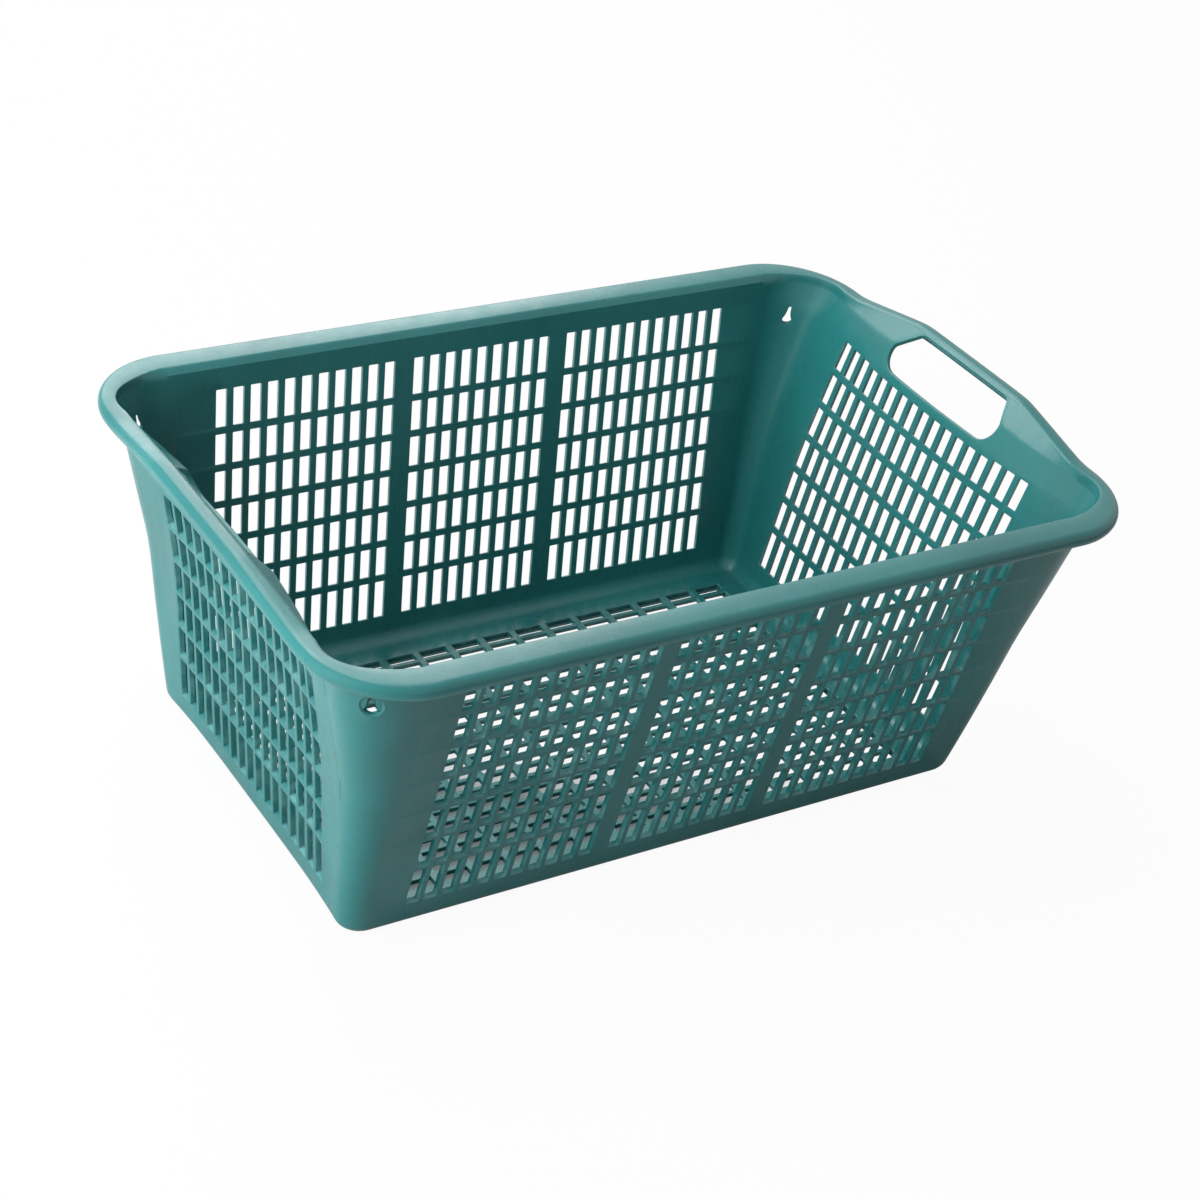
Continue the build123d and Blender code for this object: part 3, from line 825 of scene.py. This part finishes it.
def end_lines(tub, rim, y):
    """Section lines of an end at places across it, as (x, z): crease, inner top edge, outer edge,
    lip, the flap's direction and its upper ends inside and outside."""
    share = ramp_share(rim, y)
    fall = rim.crease_fall * soft_ramp(np.abs(y) - rim.crease_flat, CREASE_SOFTNESS)
    crease_z = rim.crease_grip - fall
    crease = np.stack([end_reach(tub, y, crease_z) - tub.thickness / 2, crease_z], -1)
    top = np.stack([partway(rim.end_inner, rim.grip_inner, share),
                    partway(rim.height, rim.grip_top, share)], -1)
    drop = partway(rim.lip_drop, rim.grip_lip_drop, share)
    flap = unit(top - crease)
    face = np.stack([flap[..., 1], -flap[..., 0]], -1)
    back = (rim.plate + rim.fillet - tub.thickness * flap[..., 0]) / flap[..., 1]
    inside = top - flap * back[..., None]
    return {"crease": crease, "top": top, "outer": partway(rim.half_length, rim.grip_outer, share),
            "low": top[..., 1] - drop, "flap": flap, "inside": inside,
            "outside": inside + face * tub.thickness}


def hook_section(rim, start, crease, top, outer, low, under, finish):
    """Closed hook section as (reach, height) points: bevel, crowned top, round edge, lip, and back
    under the plate."""
    before = top - unit(top - crease) * TOP_ROUND
    after = top + np.array([TOP_ROUND, 0])
    radius = rim.edge_radius
    peak = top[..., 1]
    points = [start, (start + before) / 2, before, (before + 2 * top + after) / 4, after]
    points.append(as_points((top[..., 0] + outer - radius) / 2, peak + rim.crown))
    for angle in np.linspace(0, QUARTER * (1 + rim.edge_turn), EDGE_POINTS):
        points.append(as_points(outer - radius + radius * math.sin(angle),
                                peak - radius + radius * math.cos(angle)))
    bead = LIP_BEAD * rim.lip
    tuck = outer - radius * (1 - math.cos(QUARTER * rim.edge_turn))
    points += [as_points(tuck, low + bead), as_points(tuck - bead, low),
               as_points(tuck - rim.lip + bead, low), as_points(outer - rim.lip - bead, low + bead)]
    base = peak - rim.plate
    inner = rim.inner_radius
    for angle in np.linspace(0, QUARTER, HOOK_POINTS):
        points.append(as_points(outer - rim.lip - inner * (1 - math.cos(angle)),
                                base - inner * (1 - math.sin(angle))))
    along, down = FILLET_MIDDLE
    points += [as_points(under + rim.fillet, base),
               as_points(under + along * rim.fillet, base - down * rim.fillet), finish]
    return np.stack(points, -2)


def side_section(tub, rim):
    """Hook section of a long side, as (y, z)."""
    half = tub.thickness / 2

    def wall(z, w):
        return np.array([side_reach(tub, z) + w, z])

    crease = wall(rim.crease_side, -half)
    top = np.array([rim.side_inner, rim.height])
    base = rim.height - rim.plate
    section = hook_section(rim, crease, crease, top, np.array(rim.half_width),
                           rim.height - rim.lip_drop, side_reach(tub, base) + half,
                           wall(base - rim.fillet, half))
    foot = [wall(tub.wall_top, side)[None] for side in (-half, half)]
    return np.concatenate([foot[0], section, foot[1]])


def wall_distance(tub, rim, turn, z, w):
    """Distance of the wall's curve from the rim's corner centre, at a turn, a height and an offset
    from the middle of the wall."""
    samples = np.linspace(0, QUARTER, CORNER_SAMPLES)
    level, offset = np.full(samples.shape, z), np.full(samples.shape, w)
    curve = offset_point(corner_surface(tub), samples, level, offset)[:, :2]
    curve = np.concatenate([curve, [[rim.corner_x, curve[-1, 1]]]])
    curve = curve - np.array([rim.corner_x, rim.corner_y])
    return np.interp(turn, np.arctan2(curve[:, 1], curve[:, 0]), np.hypot(curve[:, 0], curve[:, 1]))


def rim_corner(tub, rim, steps=36):
    """Rim turned round the back right corner: sections that stand on the wall's curve and reach
    out to a round edge.

    The inner bevel narrows from both ends to the diagonal, by the smooth step 3 s^2 - 2 s^3.
    """
    turn = np.linspace(0, QUARTER, steps + 1)
    half = tub.thickness / 2
    end = end_lines(tub, rim, np.array(rim.corner_y))
    mix = np.sin(turn)**2

    def wall(z, w):
        low = wall_distance(tub, rim, turn, tub.wall_top, w)
        high = wall_distance(tub, rim, turn, rim.height, w)
        return as_points(low + (high - low) * (z - tub.wall_top) / (rim.height - tub.wall_top), z)

    crease = wall(partway(end["crease"][1], rim.crease_side, mix), -half)
    span = np.linspace(0, 2, steps + 1)
    step = np.clip(np.where(span < 1, span, span - 1), 0, 1)
    step = step**2 * (3 - 2 * step)
    first = rim.end_inner - rim.corner_x - crease[0, 0]
    last = rim.side_inner - rim.corner_y - crease[-1, 0]
    bevel = np.where(span < 1, partway(first, rim.corner_bevel, step),
                     partway(rim.corner_bevel, last, step))
    bevel[-1] = last
    top = as_points(crease[:, 0] + bevel, rim.height)
    outer = partway(rim.half_length - rim.corner_x, rim.half_width - rim.corner_y, mix)
    base = rim.height - rim.plate
    low = np.full(turn.shape, rim.height - rim.lip_drop)
    section = hook_section(rim, crease, crease, top, outer, low, wall(base, half)[:, 0],
                           wall(base - rim.fillet, half))
    foot = [wall(tub.wall_top, side)[:, None] for side in (-half, half)]
    section = np.concatenate([foot[0], section, foot[1]], 1)
    x = rim.corner_x + section[..., 0] * np.cos(turn)[:, None]
    y = rim.corner_y + section[..., 0] * np.sin(turn)[:, None]
    return capped_sweep(np.stack([x, y, section[..., 1]], -1))


def side_rim(tub, rim, steps=8):
    """Straight rim of the back long side."""
    section = side_section(tub, rim)
    x = np.linspace(-rim.corner_x, rim.corner_x, steps + 1)[:, None]
    return capped_sweep(as_points(x, section[:, 0], section[:, 1]))


def grip_places(rim):
    """Places across an end, closer together where the ramps begin and end."""
    ends = (0, rim.grip_half - RAMP_ZONE, rim.grip_half + RAMP_ZONE, rim.ramp_end - RAMP_ZONE,
            rim.corner_y)
    runs = [np.linspace(low, high, steps + 1)[:-1]
            for low, high, steps in zip(ends, ends[1:], GRIP_STEPS)]
    half = np.concatenate(runs + [ends[-1:]])
    return np.concatenate([-half[:0:-1], half])


def raised_grip(tub, rim):
    """Right grip with its two ramps: the hook section carried across the end, lifted and drawn out
    on the grip."""
    y = grip_places(rim)
    line = end_lines(tub, rim, y)
    under = line["outside"][:, 0] + GRIP_UNDER + rim.fillet * line["flap"][:, 0]
    section = hook_section(rim, line["inside"], line["crease"], line["top"], line["outer"],
                           line["low"], under, line["outside"])
    return capped_sweep(as_points(section[..., 0], y[:, None], section[..., 1]))


def hand_frame_surface(tub, rim):
    """Wall and flap over an end lattice, placed by y, q and w: q runs from 0 at the lattice to 1 at
    the crease and 2 at the grip, w from -1 inside to 1 outside.

    The wall part follows the end wall, the flap is a straight line, and a soft ramp joins them.
    """
    half = tub.thickness / 2

    def wall(y, z):
        return as_points(end_reach(tub, y, z), y, z)

    def surface(y, q, w):
        line = end_lines(tub, rim, y)
        fade = np.clip((rim.corner_y - np.abs(y)) / (rim.corner_y - rim.hole_zone), 0, 1)
        blend = rim.crease_blend * (fade + CREASE_LEAST)
        crease_z = line["crease"][..., 1]
        wall_part, flap_part = soft_ramp(1 - q, blend), soft_ramp(q - 1, blend)
        wall_z = crease_z - (crease_z - tub.end_top) * wall_part
        skins = []
        for offset, top, mitre in ((-half, line["inside"], 0),
                                   (half, line["outside"], tub.thickness * CREASE_MITRE)):
            drop = fade[..., None] * np.array([0, 0, -mitre])
            skin = offset_point(wall, y, wall_z, offset) + drop * np.clip(q, 0, 1)[..., None]
            root = offset_point(wall, y, crease_z, offset) + drop
            grip = np.stack([top[..., 0], y, top[..., 1]], -1)
            skins.append(skin + (grip - root) * flap_part[..., None])
        share = ((w + 1) / 2)[..., None]
        return skins[0] * (1 - share) + skins[1] * share

    return surface


def rounded_polygon(corners, radii, steps=8):
    """Closed outline with each corner replaced by an arc that touches both its sides, drawn as a
    weighted quadratic curve."""
    before = unit(np.roll(corners, 1, axis=0) - corners)
    after = unit(np.roll(corners, -1, axis=0) - corners)
    bend = np.arccos(np.clip((before * after).sum(1), -1, 1))
    reach = (radii / np.tan(bend / 2))[:, None, None]
    share = np.linspace(0, 1, steps + 1)[None, :, None]
    weight = np.cos((math.pi - bend) / 2)[:, None, None]
    middle = corners[:, None]
    start, end = middle + before[:, None] * reach, middle + after[:, None] * reach
    a, b, c = (1 - share)**2, 2 * weight * share * (1 - share), share**2
    return ((start * a + middle * b + end * c) / (a + b + c)).reshape(-1, 2)


def split_resample(outline, marks, counts):
    """Points round a closed outline: even between each pair of marked points, with a count for
    each stretch."""
    starts = [np.argmin(np.linalg.norm(outline - mark, axis=1)) for mark in marks]
    parts = []
    for start, stop, count in zip(starts, starts[1:] + starts[:1], counts):
        run = np.roll(outline, -start, axis=0)[:(stop - start) % len(outline) + 1]
        parts.append(even_points(run, count))
    return np.concatenate(parts)


def hand_frame(tub, rim, across=40, up=16, cheek=14):
    """Right hand hole's frame: a ring of wall and flap round the hole, with a plain cheek at each
    side."""
    half = tub.thickness / 2
    surface = hand_frame_surface(tub, rim)
    level = end_lines(tub, rim, np.array(0.0))
    flap_length = np.linalg.norm(level["inside"] - level["crease"])
    wall_length = rim.crease_grip - tub.end_top
    top = flap_length - (rim.hole_bar - np.linalg.norm(level["top"] - level["inside"]))
    sill = rim.hole_sill - rim.crease_grip
    wide, narrow = rim.hole_half, rim.hole_top_half
    corners = np.array([(-wide, sill), (wide, sill), (wide, 0), (narrow, top), (-narrow, top),
                        (-wide, 0)])
    radii = np.array([rim.hole_round, rim.hole_round, HOLE_CREASE_ROUND, rim.hole_top_round,
                      rim.hole_top_round, HOLE_CREASE_ROUND])
    inset = rim.hole_round * HOLE_MARK
    marks = np.array([(-wide + inset, sill + inset), (wide - inset, sill + inset), (narrow, top),
                      (-narrow, top)])
    hole = split_resample(rounded_polygon(corners, radii), marks, (across, up, across, up))
    low, high = (-rim.hole_zone, -wall_length), (rim.hole_zone, flap_length)
    rows = holed_ring(hole, box_outline(low, high, across, up), rim.hole_edge, half, HAND_HOLE_ROWS)

    def place(y, v, w):
        q = np.where(v < 0, 1 + v / wall_length, 1 + v / flap_length)
        return surface(y, q, w / half)

    blocks = [ring(place(*np.moveaxis(rows, -1, 0)))]
    heights = np.linspace(-wall_length, flap_length, up + 1)
    share, v = np.meshgrid(np.linspace(0, 1, cheek + 1), heights, indexing="ij")
    crease_z = end_lines(tub, rim, np.array(rim.corner_y))["crease"][1]
    steep = (crease_z - tub.end_top) / wall_length
    z = np.clip(crease_z + v * np.where(v < 0, steep, 1), tub.end_top, tub.wall_top)
    reach = partway(rim.hole_zone, corner_centre(tub, z)[1], share)
    for sign in (1, -1):
        skins = (place(sign * reach, v, np.full(v.shape, w)) for w in (-half, half))
        blocks.append(slab(*skins))
    return together(blocks)


# Nodes


WHOLE = (0, 1)
# Sockets of a mix node for colours, by number because their names are not unique
MIX_FACTOR, MIX_FIRST, MIX_SECOND, MIX_RESULT = 0, 6, 7, 2


def add_node(tree, kind, inputs, **settings):
    """Adds a node with its settings; an input is linked to a socket or set to a plain value."""
    node = tree.nodes.new("ShaderNode" + kind)
    for name, value in settings.items():
        setattr(node, name, value)
    for name, value in inputs.items():
        if isinstance(value, bpy.types.NodeSocket):
            tree.links.new(value, node.inputs[name])
        else:
            node.inputs[name].default_value = value
    return node


def maths(tree, operation, *values):
    """Result of one operation on sockets and plain numbers."""
    return add_node(tree, "Math", dict(enumerate(values)), operation=operation).outputs["Value"]


def mapped(tree, value, span, to):
    """Straight line that takes one span of values to another, and stays level beyond it."""
    inputs = {"Value": value, "From Min": span[0], "From Max": span[1], "To Min": to[0],
              "To Max": to[1]}
    return add_node(tree, "MapRange", inputs).outputs["Result"]


def mixed(tree, amount, first, second):
    """Colour that goes from the first to the second by an amount."""
    inputs = {MIX_FACTOR: amount, MIX_FIRST: first, MIX_SECOND: second}
    return add_node(tree, "Mix", inputs, data_type="RGBA").outputs[MIX_RESULT]


# Plastic


PLASTIC = "petrol_plastic"
PLASTIC_IOR = 1.49
# Each noise has a scale, a detail and, for the scratches, a stretch that draws them upwards. A span
# of it is mapped to an amount or a roughness, or it is a bump's height.
CLOUD_NOISE, CLOUD_SPAN = (9, 4), (0.38, 0.64)
WEAR_NOISE, WEAR_SPAN, WEAR_AMOUNT = (60, 3), (0.45, 0.7), (0.05, 0.5)
SPECK_NOISE, SPECK_SPAN, SPECK_AMOUNT = (900, 1), (0.76, 0.82), (0.0, 0.5)
SCRATCH_NOISE, SCRATCH_SPAN, ROUGHNESS = (70, 2, (1, 1, 0.12)), (0.3, 0.75), (0.24, 0.38)
GRAIN_NOISE, GRAIN_BUMP = (420, 3), {"Strength": 0.12, "Distance": 0.0006}
WAVE_NOISE, WAVE_BUMP = (22, 2), {"Strength": 0.10, "Distance": 0.004}


def plastic():
    """Moulded plastic: clouded petrol green with fine specks, scuffs along the edges, soft
    scratches, a fine grain and slow waves."""
    if PLASTIC in bpy.data.materials:
        return bpy.data.materials[PLASTIC]
    finish = bpy.context.scene.basket_finish
    material = bpy.data.materials.new(PLASTIC)
    material.use_nodes = True
    tree = material.node_tree
    shader = tree.nodes["Principled BSDF"]
    shader.inputs["IOR"].default_value = PLASTIC_IOR
    place = tree.nodes.new("ShaderNodeTexCoord").outputs["Object"]

    def noise(scale, detail, stretch=(1, 1, 1)):
        mapping = add_node(tree, "Mapping", {"Vector": place, "Scale": stretch})
        inputs = {"Vector": mapping.outputs["Vector"], "Scale": scale, "Detail": detail}
        return add_node(tree, "TexNoise", inputs).outputs["Fac"]

    clouds = mapped(tree, noise(*CLOUD_NOISE), CLOUD_SPAN, WHOLE)
    tint = mixed(tree, clouds, finish.body, finish.cloud)
    worn = add_node(tree, "Attribute", {}, attribute_name=WEAR).outputs["Fac"]
    patches = mapped(tree, noise(*WEAR_NOISE), WEAR_SPAN, WEAR_AMOUNT)
    tint = mixed(tree, maths(tree, "MULTIPLY", worn, patches), tint, finish.scuff)
    specks = mapped(tree, noise(*SPECK_NOISE), SPECK_SPAN, SPECK_AMOUNT)
    tint = mixed(tree, specks, tint, finish.dust)
    rough = mapped(tree, noise(*SCRATCH_NOISE), SCRATCH_SPAN, ROUGHNESS)
    waves = add_node(tree, "Bump", {**WAVE_BUMP, "Height": noise(*WAVE_NOISE)})
    grain = add_node(tree, "Bump", {**GRAIN_BUMP, "Height": noise(*GRAIN_NOISE),
                                    "Normal": waves.outputs["Normal"]})
    tree.links.new(tint, shader.inputs["Base Color"])
    tree.links.new(rough, shader.inputs["Roughness"])
    tree.links.new(grain.outputs["Normal"], shader.inputs["Normal"])
    return material


# Stage


FLOOR_HALF = 9.0
FLOOR_ROUGHNESS = 0.9
# Camera in the basket's frame, in metres; sensor and lens are in millimetres
SENSOR_WIDTH = 36
LENS = 75.148
CAMERA_SHIFT = (0.13925, 0.02249)
CAMERA_PLACE = (-0.91646, -1.14373, 1.07881)
CAMERA_AHEAD = (0.46887, 0.67753, -0.56667)
CAMERA_UP = (0.19137, 0.5484, 0.81402)


def floor_paint(levels):
    """Pale matt floor: seen from the camera it is mostly plain white, less so in the shade under
    the front left and not along the inside of the foot, and it keeps the shadow."""
    paint = bpy.data.materials.new("pale_floor")
    paint.use_nodes = True
    tree = paint.node_tree
    shader = tree.nodes["Principled BSDF"]
    shader.inputs["Roughness"].default_value = FLOOR_ROUGHNESS
    shader.inputs["Specular IOR Level"].default_value = 0.0
    place = tree.nodes.new("ShaderNodeTexCoord").outputs["Object"]
    parts = add_node(tree, "SeparateXYZ", {"Vector": place}).outputs

    def inside(half_x, half_y):
        near = [maths(tree, "LESS_THAN", maths(tree, "ABSOLUTE", parts[axis]), half)
                for axis, half in (("X", half_x), ("Y", half_y))]
        return maths(tree, "MULTIPLY", *near)

    foot = inside(levels.foot_x, levels.foot_y)
    lit = inside(levels.foot_x - levels.shade_width, levels.foot_y - levels.shade_width)
    strip = maths(tree, "SUBTRACT", foot, lit)
    slant = maths(tree, "ADD", maths(tree, "MULTIPLY", parts["X"], levels.slant), parts["Y"])
    reach = mapped(tree, slant, (levels.dim_from, levels.dim_to), WHOLE[::-1])
    dim = maths(tree, "MULTIPLY", foot, reach)
    tone = mixed(tree, maths(tree, "MAXIMUM", dim, strip), levels.pale, levels.shade)
    tree.links.new(tone, shader.inputs["Base Color"])
    share = maths(tree, "MULTIPLY", mapped(tree, dim, WHOLE, (levels.white, levels.under)),
                  mapped(tree, strip, WHOLE, WHOLE[::-1]))
    seen = tree.nodes.new("ShaderNodeLightPath").outputs["Is Camera Ray"]
    glow = tree.nodes.new("ShaderNodeEmission").outputs["Emission"]
    mix = add_node(tree, "MixShader", {"Fac": maths(tree, "MULTIPLY", seen, share),
                                       1: shader.outputs["BSDF"], 2: glow})
    tree.links.new(mix.outputs["Shader"], tree.nodes["Material Output"].inputs["Surface"])
    return paint


def world_light(scene, levels):
    """Even soft light from all round, which the camera sees as plain white and the plastic
    reflects as a pale room."""
    world = bpy.data.worlds.new("studio")
    scene.world = world
    world.use_nodes = True
    tree = world.node_tree
    path = tree.nodes.new("ShaderNodeLightPath").outputs
    reflected = mapped(tree, path["Is Glossy Ray"], WHOLE, (levels.fill, levels.sheen))
    strength = mapped(tree, path["Is Camera Ray"], WHOLE, (reflected, 1))
    background = tree.nodes["Background"]
    background.inputs["Color"].default_value = (1, 1, 1, 1)
    tree.links.new(strength, background.inputs["Strength"])


def lamp(name, power, place, size):
    """Square soft lamp at a place, turned towards the middle of the basket, and returned."""
    light = bpy.data.lights.new(name, "AREA")
    light.energy = power
    light.size = size
    holder = bpy.data.objects.new(name, light)
    holder.location = place
    middle = Vector((0, 0, CAD_BOX[1][2] / 2))
    holder.rotation_euler = (middle - Vector(place)).to_track_quat("-Z", "Y").to_euler()
    bpy.context.scene.collection.objects.link(holder)
    return holder


def place_camera(scene):
    """Camera at the photograph's viewing angle."""
    camera = bpy.data.cameras.new("photo_camera")
    camera.sensor_width = SENSOR_WIDTH
    camera.lens = LENS
    camera.shift_x, camera.shift_y = CAMERA_SHIFT
    ahead = Vector(CAMERA_AHEAD).normalized()
    right = ahead.cross(Vector(CAMERA_UP)).normalized()
    turn = Matrix((right, right.cross(ahead), -ahead)).transposed().to_4x4()
    holder = bpy.data.objects.new("photo_camera", camera)
    holder.matrix_world = Matrix.Translation(CAMERA_PLACE) @ turn
    scene.collection.objects.link(holder)
    scene.camera = holder
    scene.view_settings.view_transform = "Standard"


# Operators


SIDES = (("back", 1), ("front", -1))
ENDS = (("right", 1), ("left", -1))


def sizes():
    """The size groups of the scene: tub, slots and rim."""
    scene = bpy.context.scene
    return scene.basket_tub, scene.basket_slots, scene.basket_rim


class BASKET_OT_floor(Operator):
    """Lays the floor lattice and the foot band round it"""

    bl_idname = "basket.floor"
    bl_label = "Floor and foot"

    def execute(self, context):
        tub, slots, _ = sizes()
        grid, wear = floor_grid(tub, slots)
        add_piece("floor_grid", grid, ("floor_slats", "floor_ribs"), wear=wear)
        feet = ("back_foot", "front_foot", "left_foot", "right_foot")
        add_piece("foot_band", foot_ring(tub, slots), feet)
        return {"FINISHED"}


class BASKET_OT_side_walls(Operator):
    """Stands up the two long lattice walls"""

    bl_idname = "basket.side_walls"
    bl_label = "Long walls"

    def execute(self, context):
        tub, slots, _ = sizes()
        wall, wear = side_wall(tub, slots)
        for side, sign in SIDES:
            panels = ("centre_panel", "left_side_panel", "right_side_panel")
            nodes = [f"{side}_{panel}" for panel in panels]
            add_piece(f"{side}_lattice_wall", wall, nodes, (1, sign), wear)
        return {"FINISHED"}


class BASKET_OT_end_walls(Operator):
    """Stands up the two end lattices with the hand hole frames over them"""

    bl_idname = "basket.end_walls"
    bl_label = "End walls"

    def execute(self, context):
        tub, slots, rim = sizes()
        wall, wear = end_wall(tub, slots)
        hole = hand_frame(tub, rim)
        for end, sign in ENDS:
            nodes = [f"{end}_end_uprights", f"{end}_end_rails"]
            add_piece(f"{end}_lattice_end", wall, nodes, (sign, 1), wear)
            add_piece(f"{end}_hand_hole", hole, [f"{end}_handle_frame"], (sign, 1))
        return {"FINISHED"}


class BASKET_OT_corners(Operator):
    """Rounds the four corners, each with its keyhole"""

    bl_idname = "basket.corners"
    bl_label = "Corner posts"

    def execute(self, context):
        tub, slots, _ = sizes()
        post = corner_post(tub, slots)
        for side, across in SIDES:
            for end, along in ENDS:
                name = f"{side}_{end}_corner"
                add_piece(name, post, [f"{name}_post"], (along, across))
        return {"FINISHED"}


class BASKET_OT_rim(Operator):
    """Hooks the rim round the long sides and the corners"""

    bl_idname = "basket.rim"
    bl_label = "Rim"

    def execute(self, context):
        tub, _, rim = sizes()
        straight, corner = side_rim(tub, rim), rim_corner(tub, rim)
        for side, across in SIDES:
            add_piece(f"{side}_hooked_rim", straight, [f"{side}_rim"], (1, across))
            for end, along in ENDS:
                name = f"{side}_{end}_rim"
                add_piece(f"{name}_turn", corner, [f"{name}_corner"], (along, across))
        return {"FINISHED"}


class BASKET_OT_grips(Operator):
    """Raises the two grips with their ramps"""

    bl_idname = "basket.grips"
    bl_label = "Grips"

    def execute(self, context):
        tub, _, rim = sizes()
        grip = raised_grip(tub, rim)
        for end, sign in ENDS:
            nodes = [f"{end}_grip", f"back_{end}_grip_shoulder", f"front_{end}_grip_shoulder"]
            add_piece(f"{end}_raised_grip", grip, nodes, (sign, 1))
        return {"FINISHED"}


class BASKET_OT_stage(Operator):
    """Sets the pale floor, the lamps and the camera"""

    bl_idname = "basket.stage"
    bl_label = "Stage"

    def execute(self, context):
        levels = context.scene.basket_studio
        floor_mesh = bpy.data.meshes.new("studio_floor")
        corners = np.array([(-1, -1), (1, -1), (1, 1), (-1, 1)]) * FLOOR_HALF
        floor_mesh.from_pydata(with_third(corners, 0).tolist(), [], [(0, 1, 2, 3)])
        floor = bpy.data.objects.new("studio_floor", floor_mesh)
        context.scene.collection.objects.link(floor)
        floor_mesh.materials.append(floor_paint(levels))
        world_light(context.scene, levels)
        lamp("key", levels.key, levels.key_place, levels.key_size).visible_glossy = False
        lamp("back", levels.back, levels.back_place, levels.back_size)
        lamp("overhead", levels.top, levels.top_place, levels.top_size)
        place_camera(context.scene)
        return {"FINISHED"}


STEPS = (BASKET_OT_floor, BASKET_OT_side_walls, BASKET_OT_end_walls, BASKET_OT_corners,
         BASKET_OT_rim, BASKET_OT_grips, BASKET_OT_stage)


class BASKET_PT_steps(Panel):
    """Steps that build the basket"""

    bl_label = "Harvest basket"
    bl_idname = "BASKET_PT_steps"
    bl_space_type = "VIEW_3D"
    bl_region_type = "UI"
    bl_category = "Basket"

    def draw(self, context):
        for step in STEPS:
            self.layout.operator(step.bl_idname)


GROUPS = (("basket_tub", TubSizes), ("basket_slots", SlotSizes), ("basket_rim", RimSizes),
          ("basket_finish", BasketFinish), ("basket_studio", StudioLevels))


def register():
    """Adds the property groups, the operators and the panel."""
    for name, group in GROUPS:
        bpy.utils.register_class(group)
        setattr(bpy.types.Scene, name, PointerProperty(type=group))
    for step in STEPS + (BASKET_PT_steps,):
        bpy.utils.register_class(step)


def unregister():
    """Takes them away again."""
    for step in (BASKET_PT_steps,) + STEPS[::-1]:
        bpy.utils.unregister_class(step)
    for name, group in GROUPS[::-1]:
        delattr(bpy.types.Scene, name)
        bpy.utils.unregister_class(group)


def main():
    """Registers the add-on and builds the basket step by step."""
    register()
    bpy.ops.basket.floor()
    bpy.ops.basket.side_walls()
    bpy.ops.basket.end_walls()
    bpy.ops.basket.corners()
    bpy.ops.basket.rim()
    bpy.ops.basket.grips()
    bpy.ops.basket.stage()


if __name__ == "__main__":
    main()
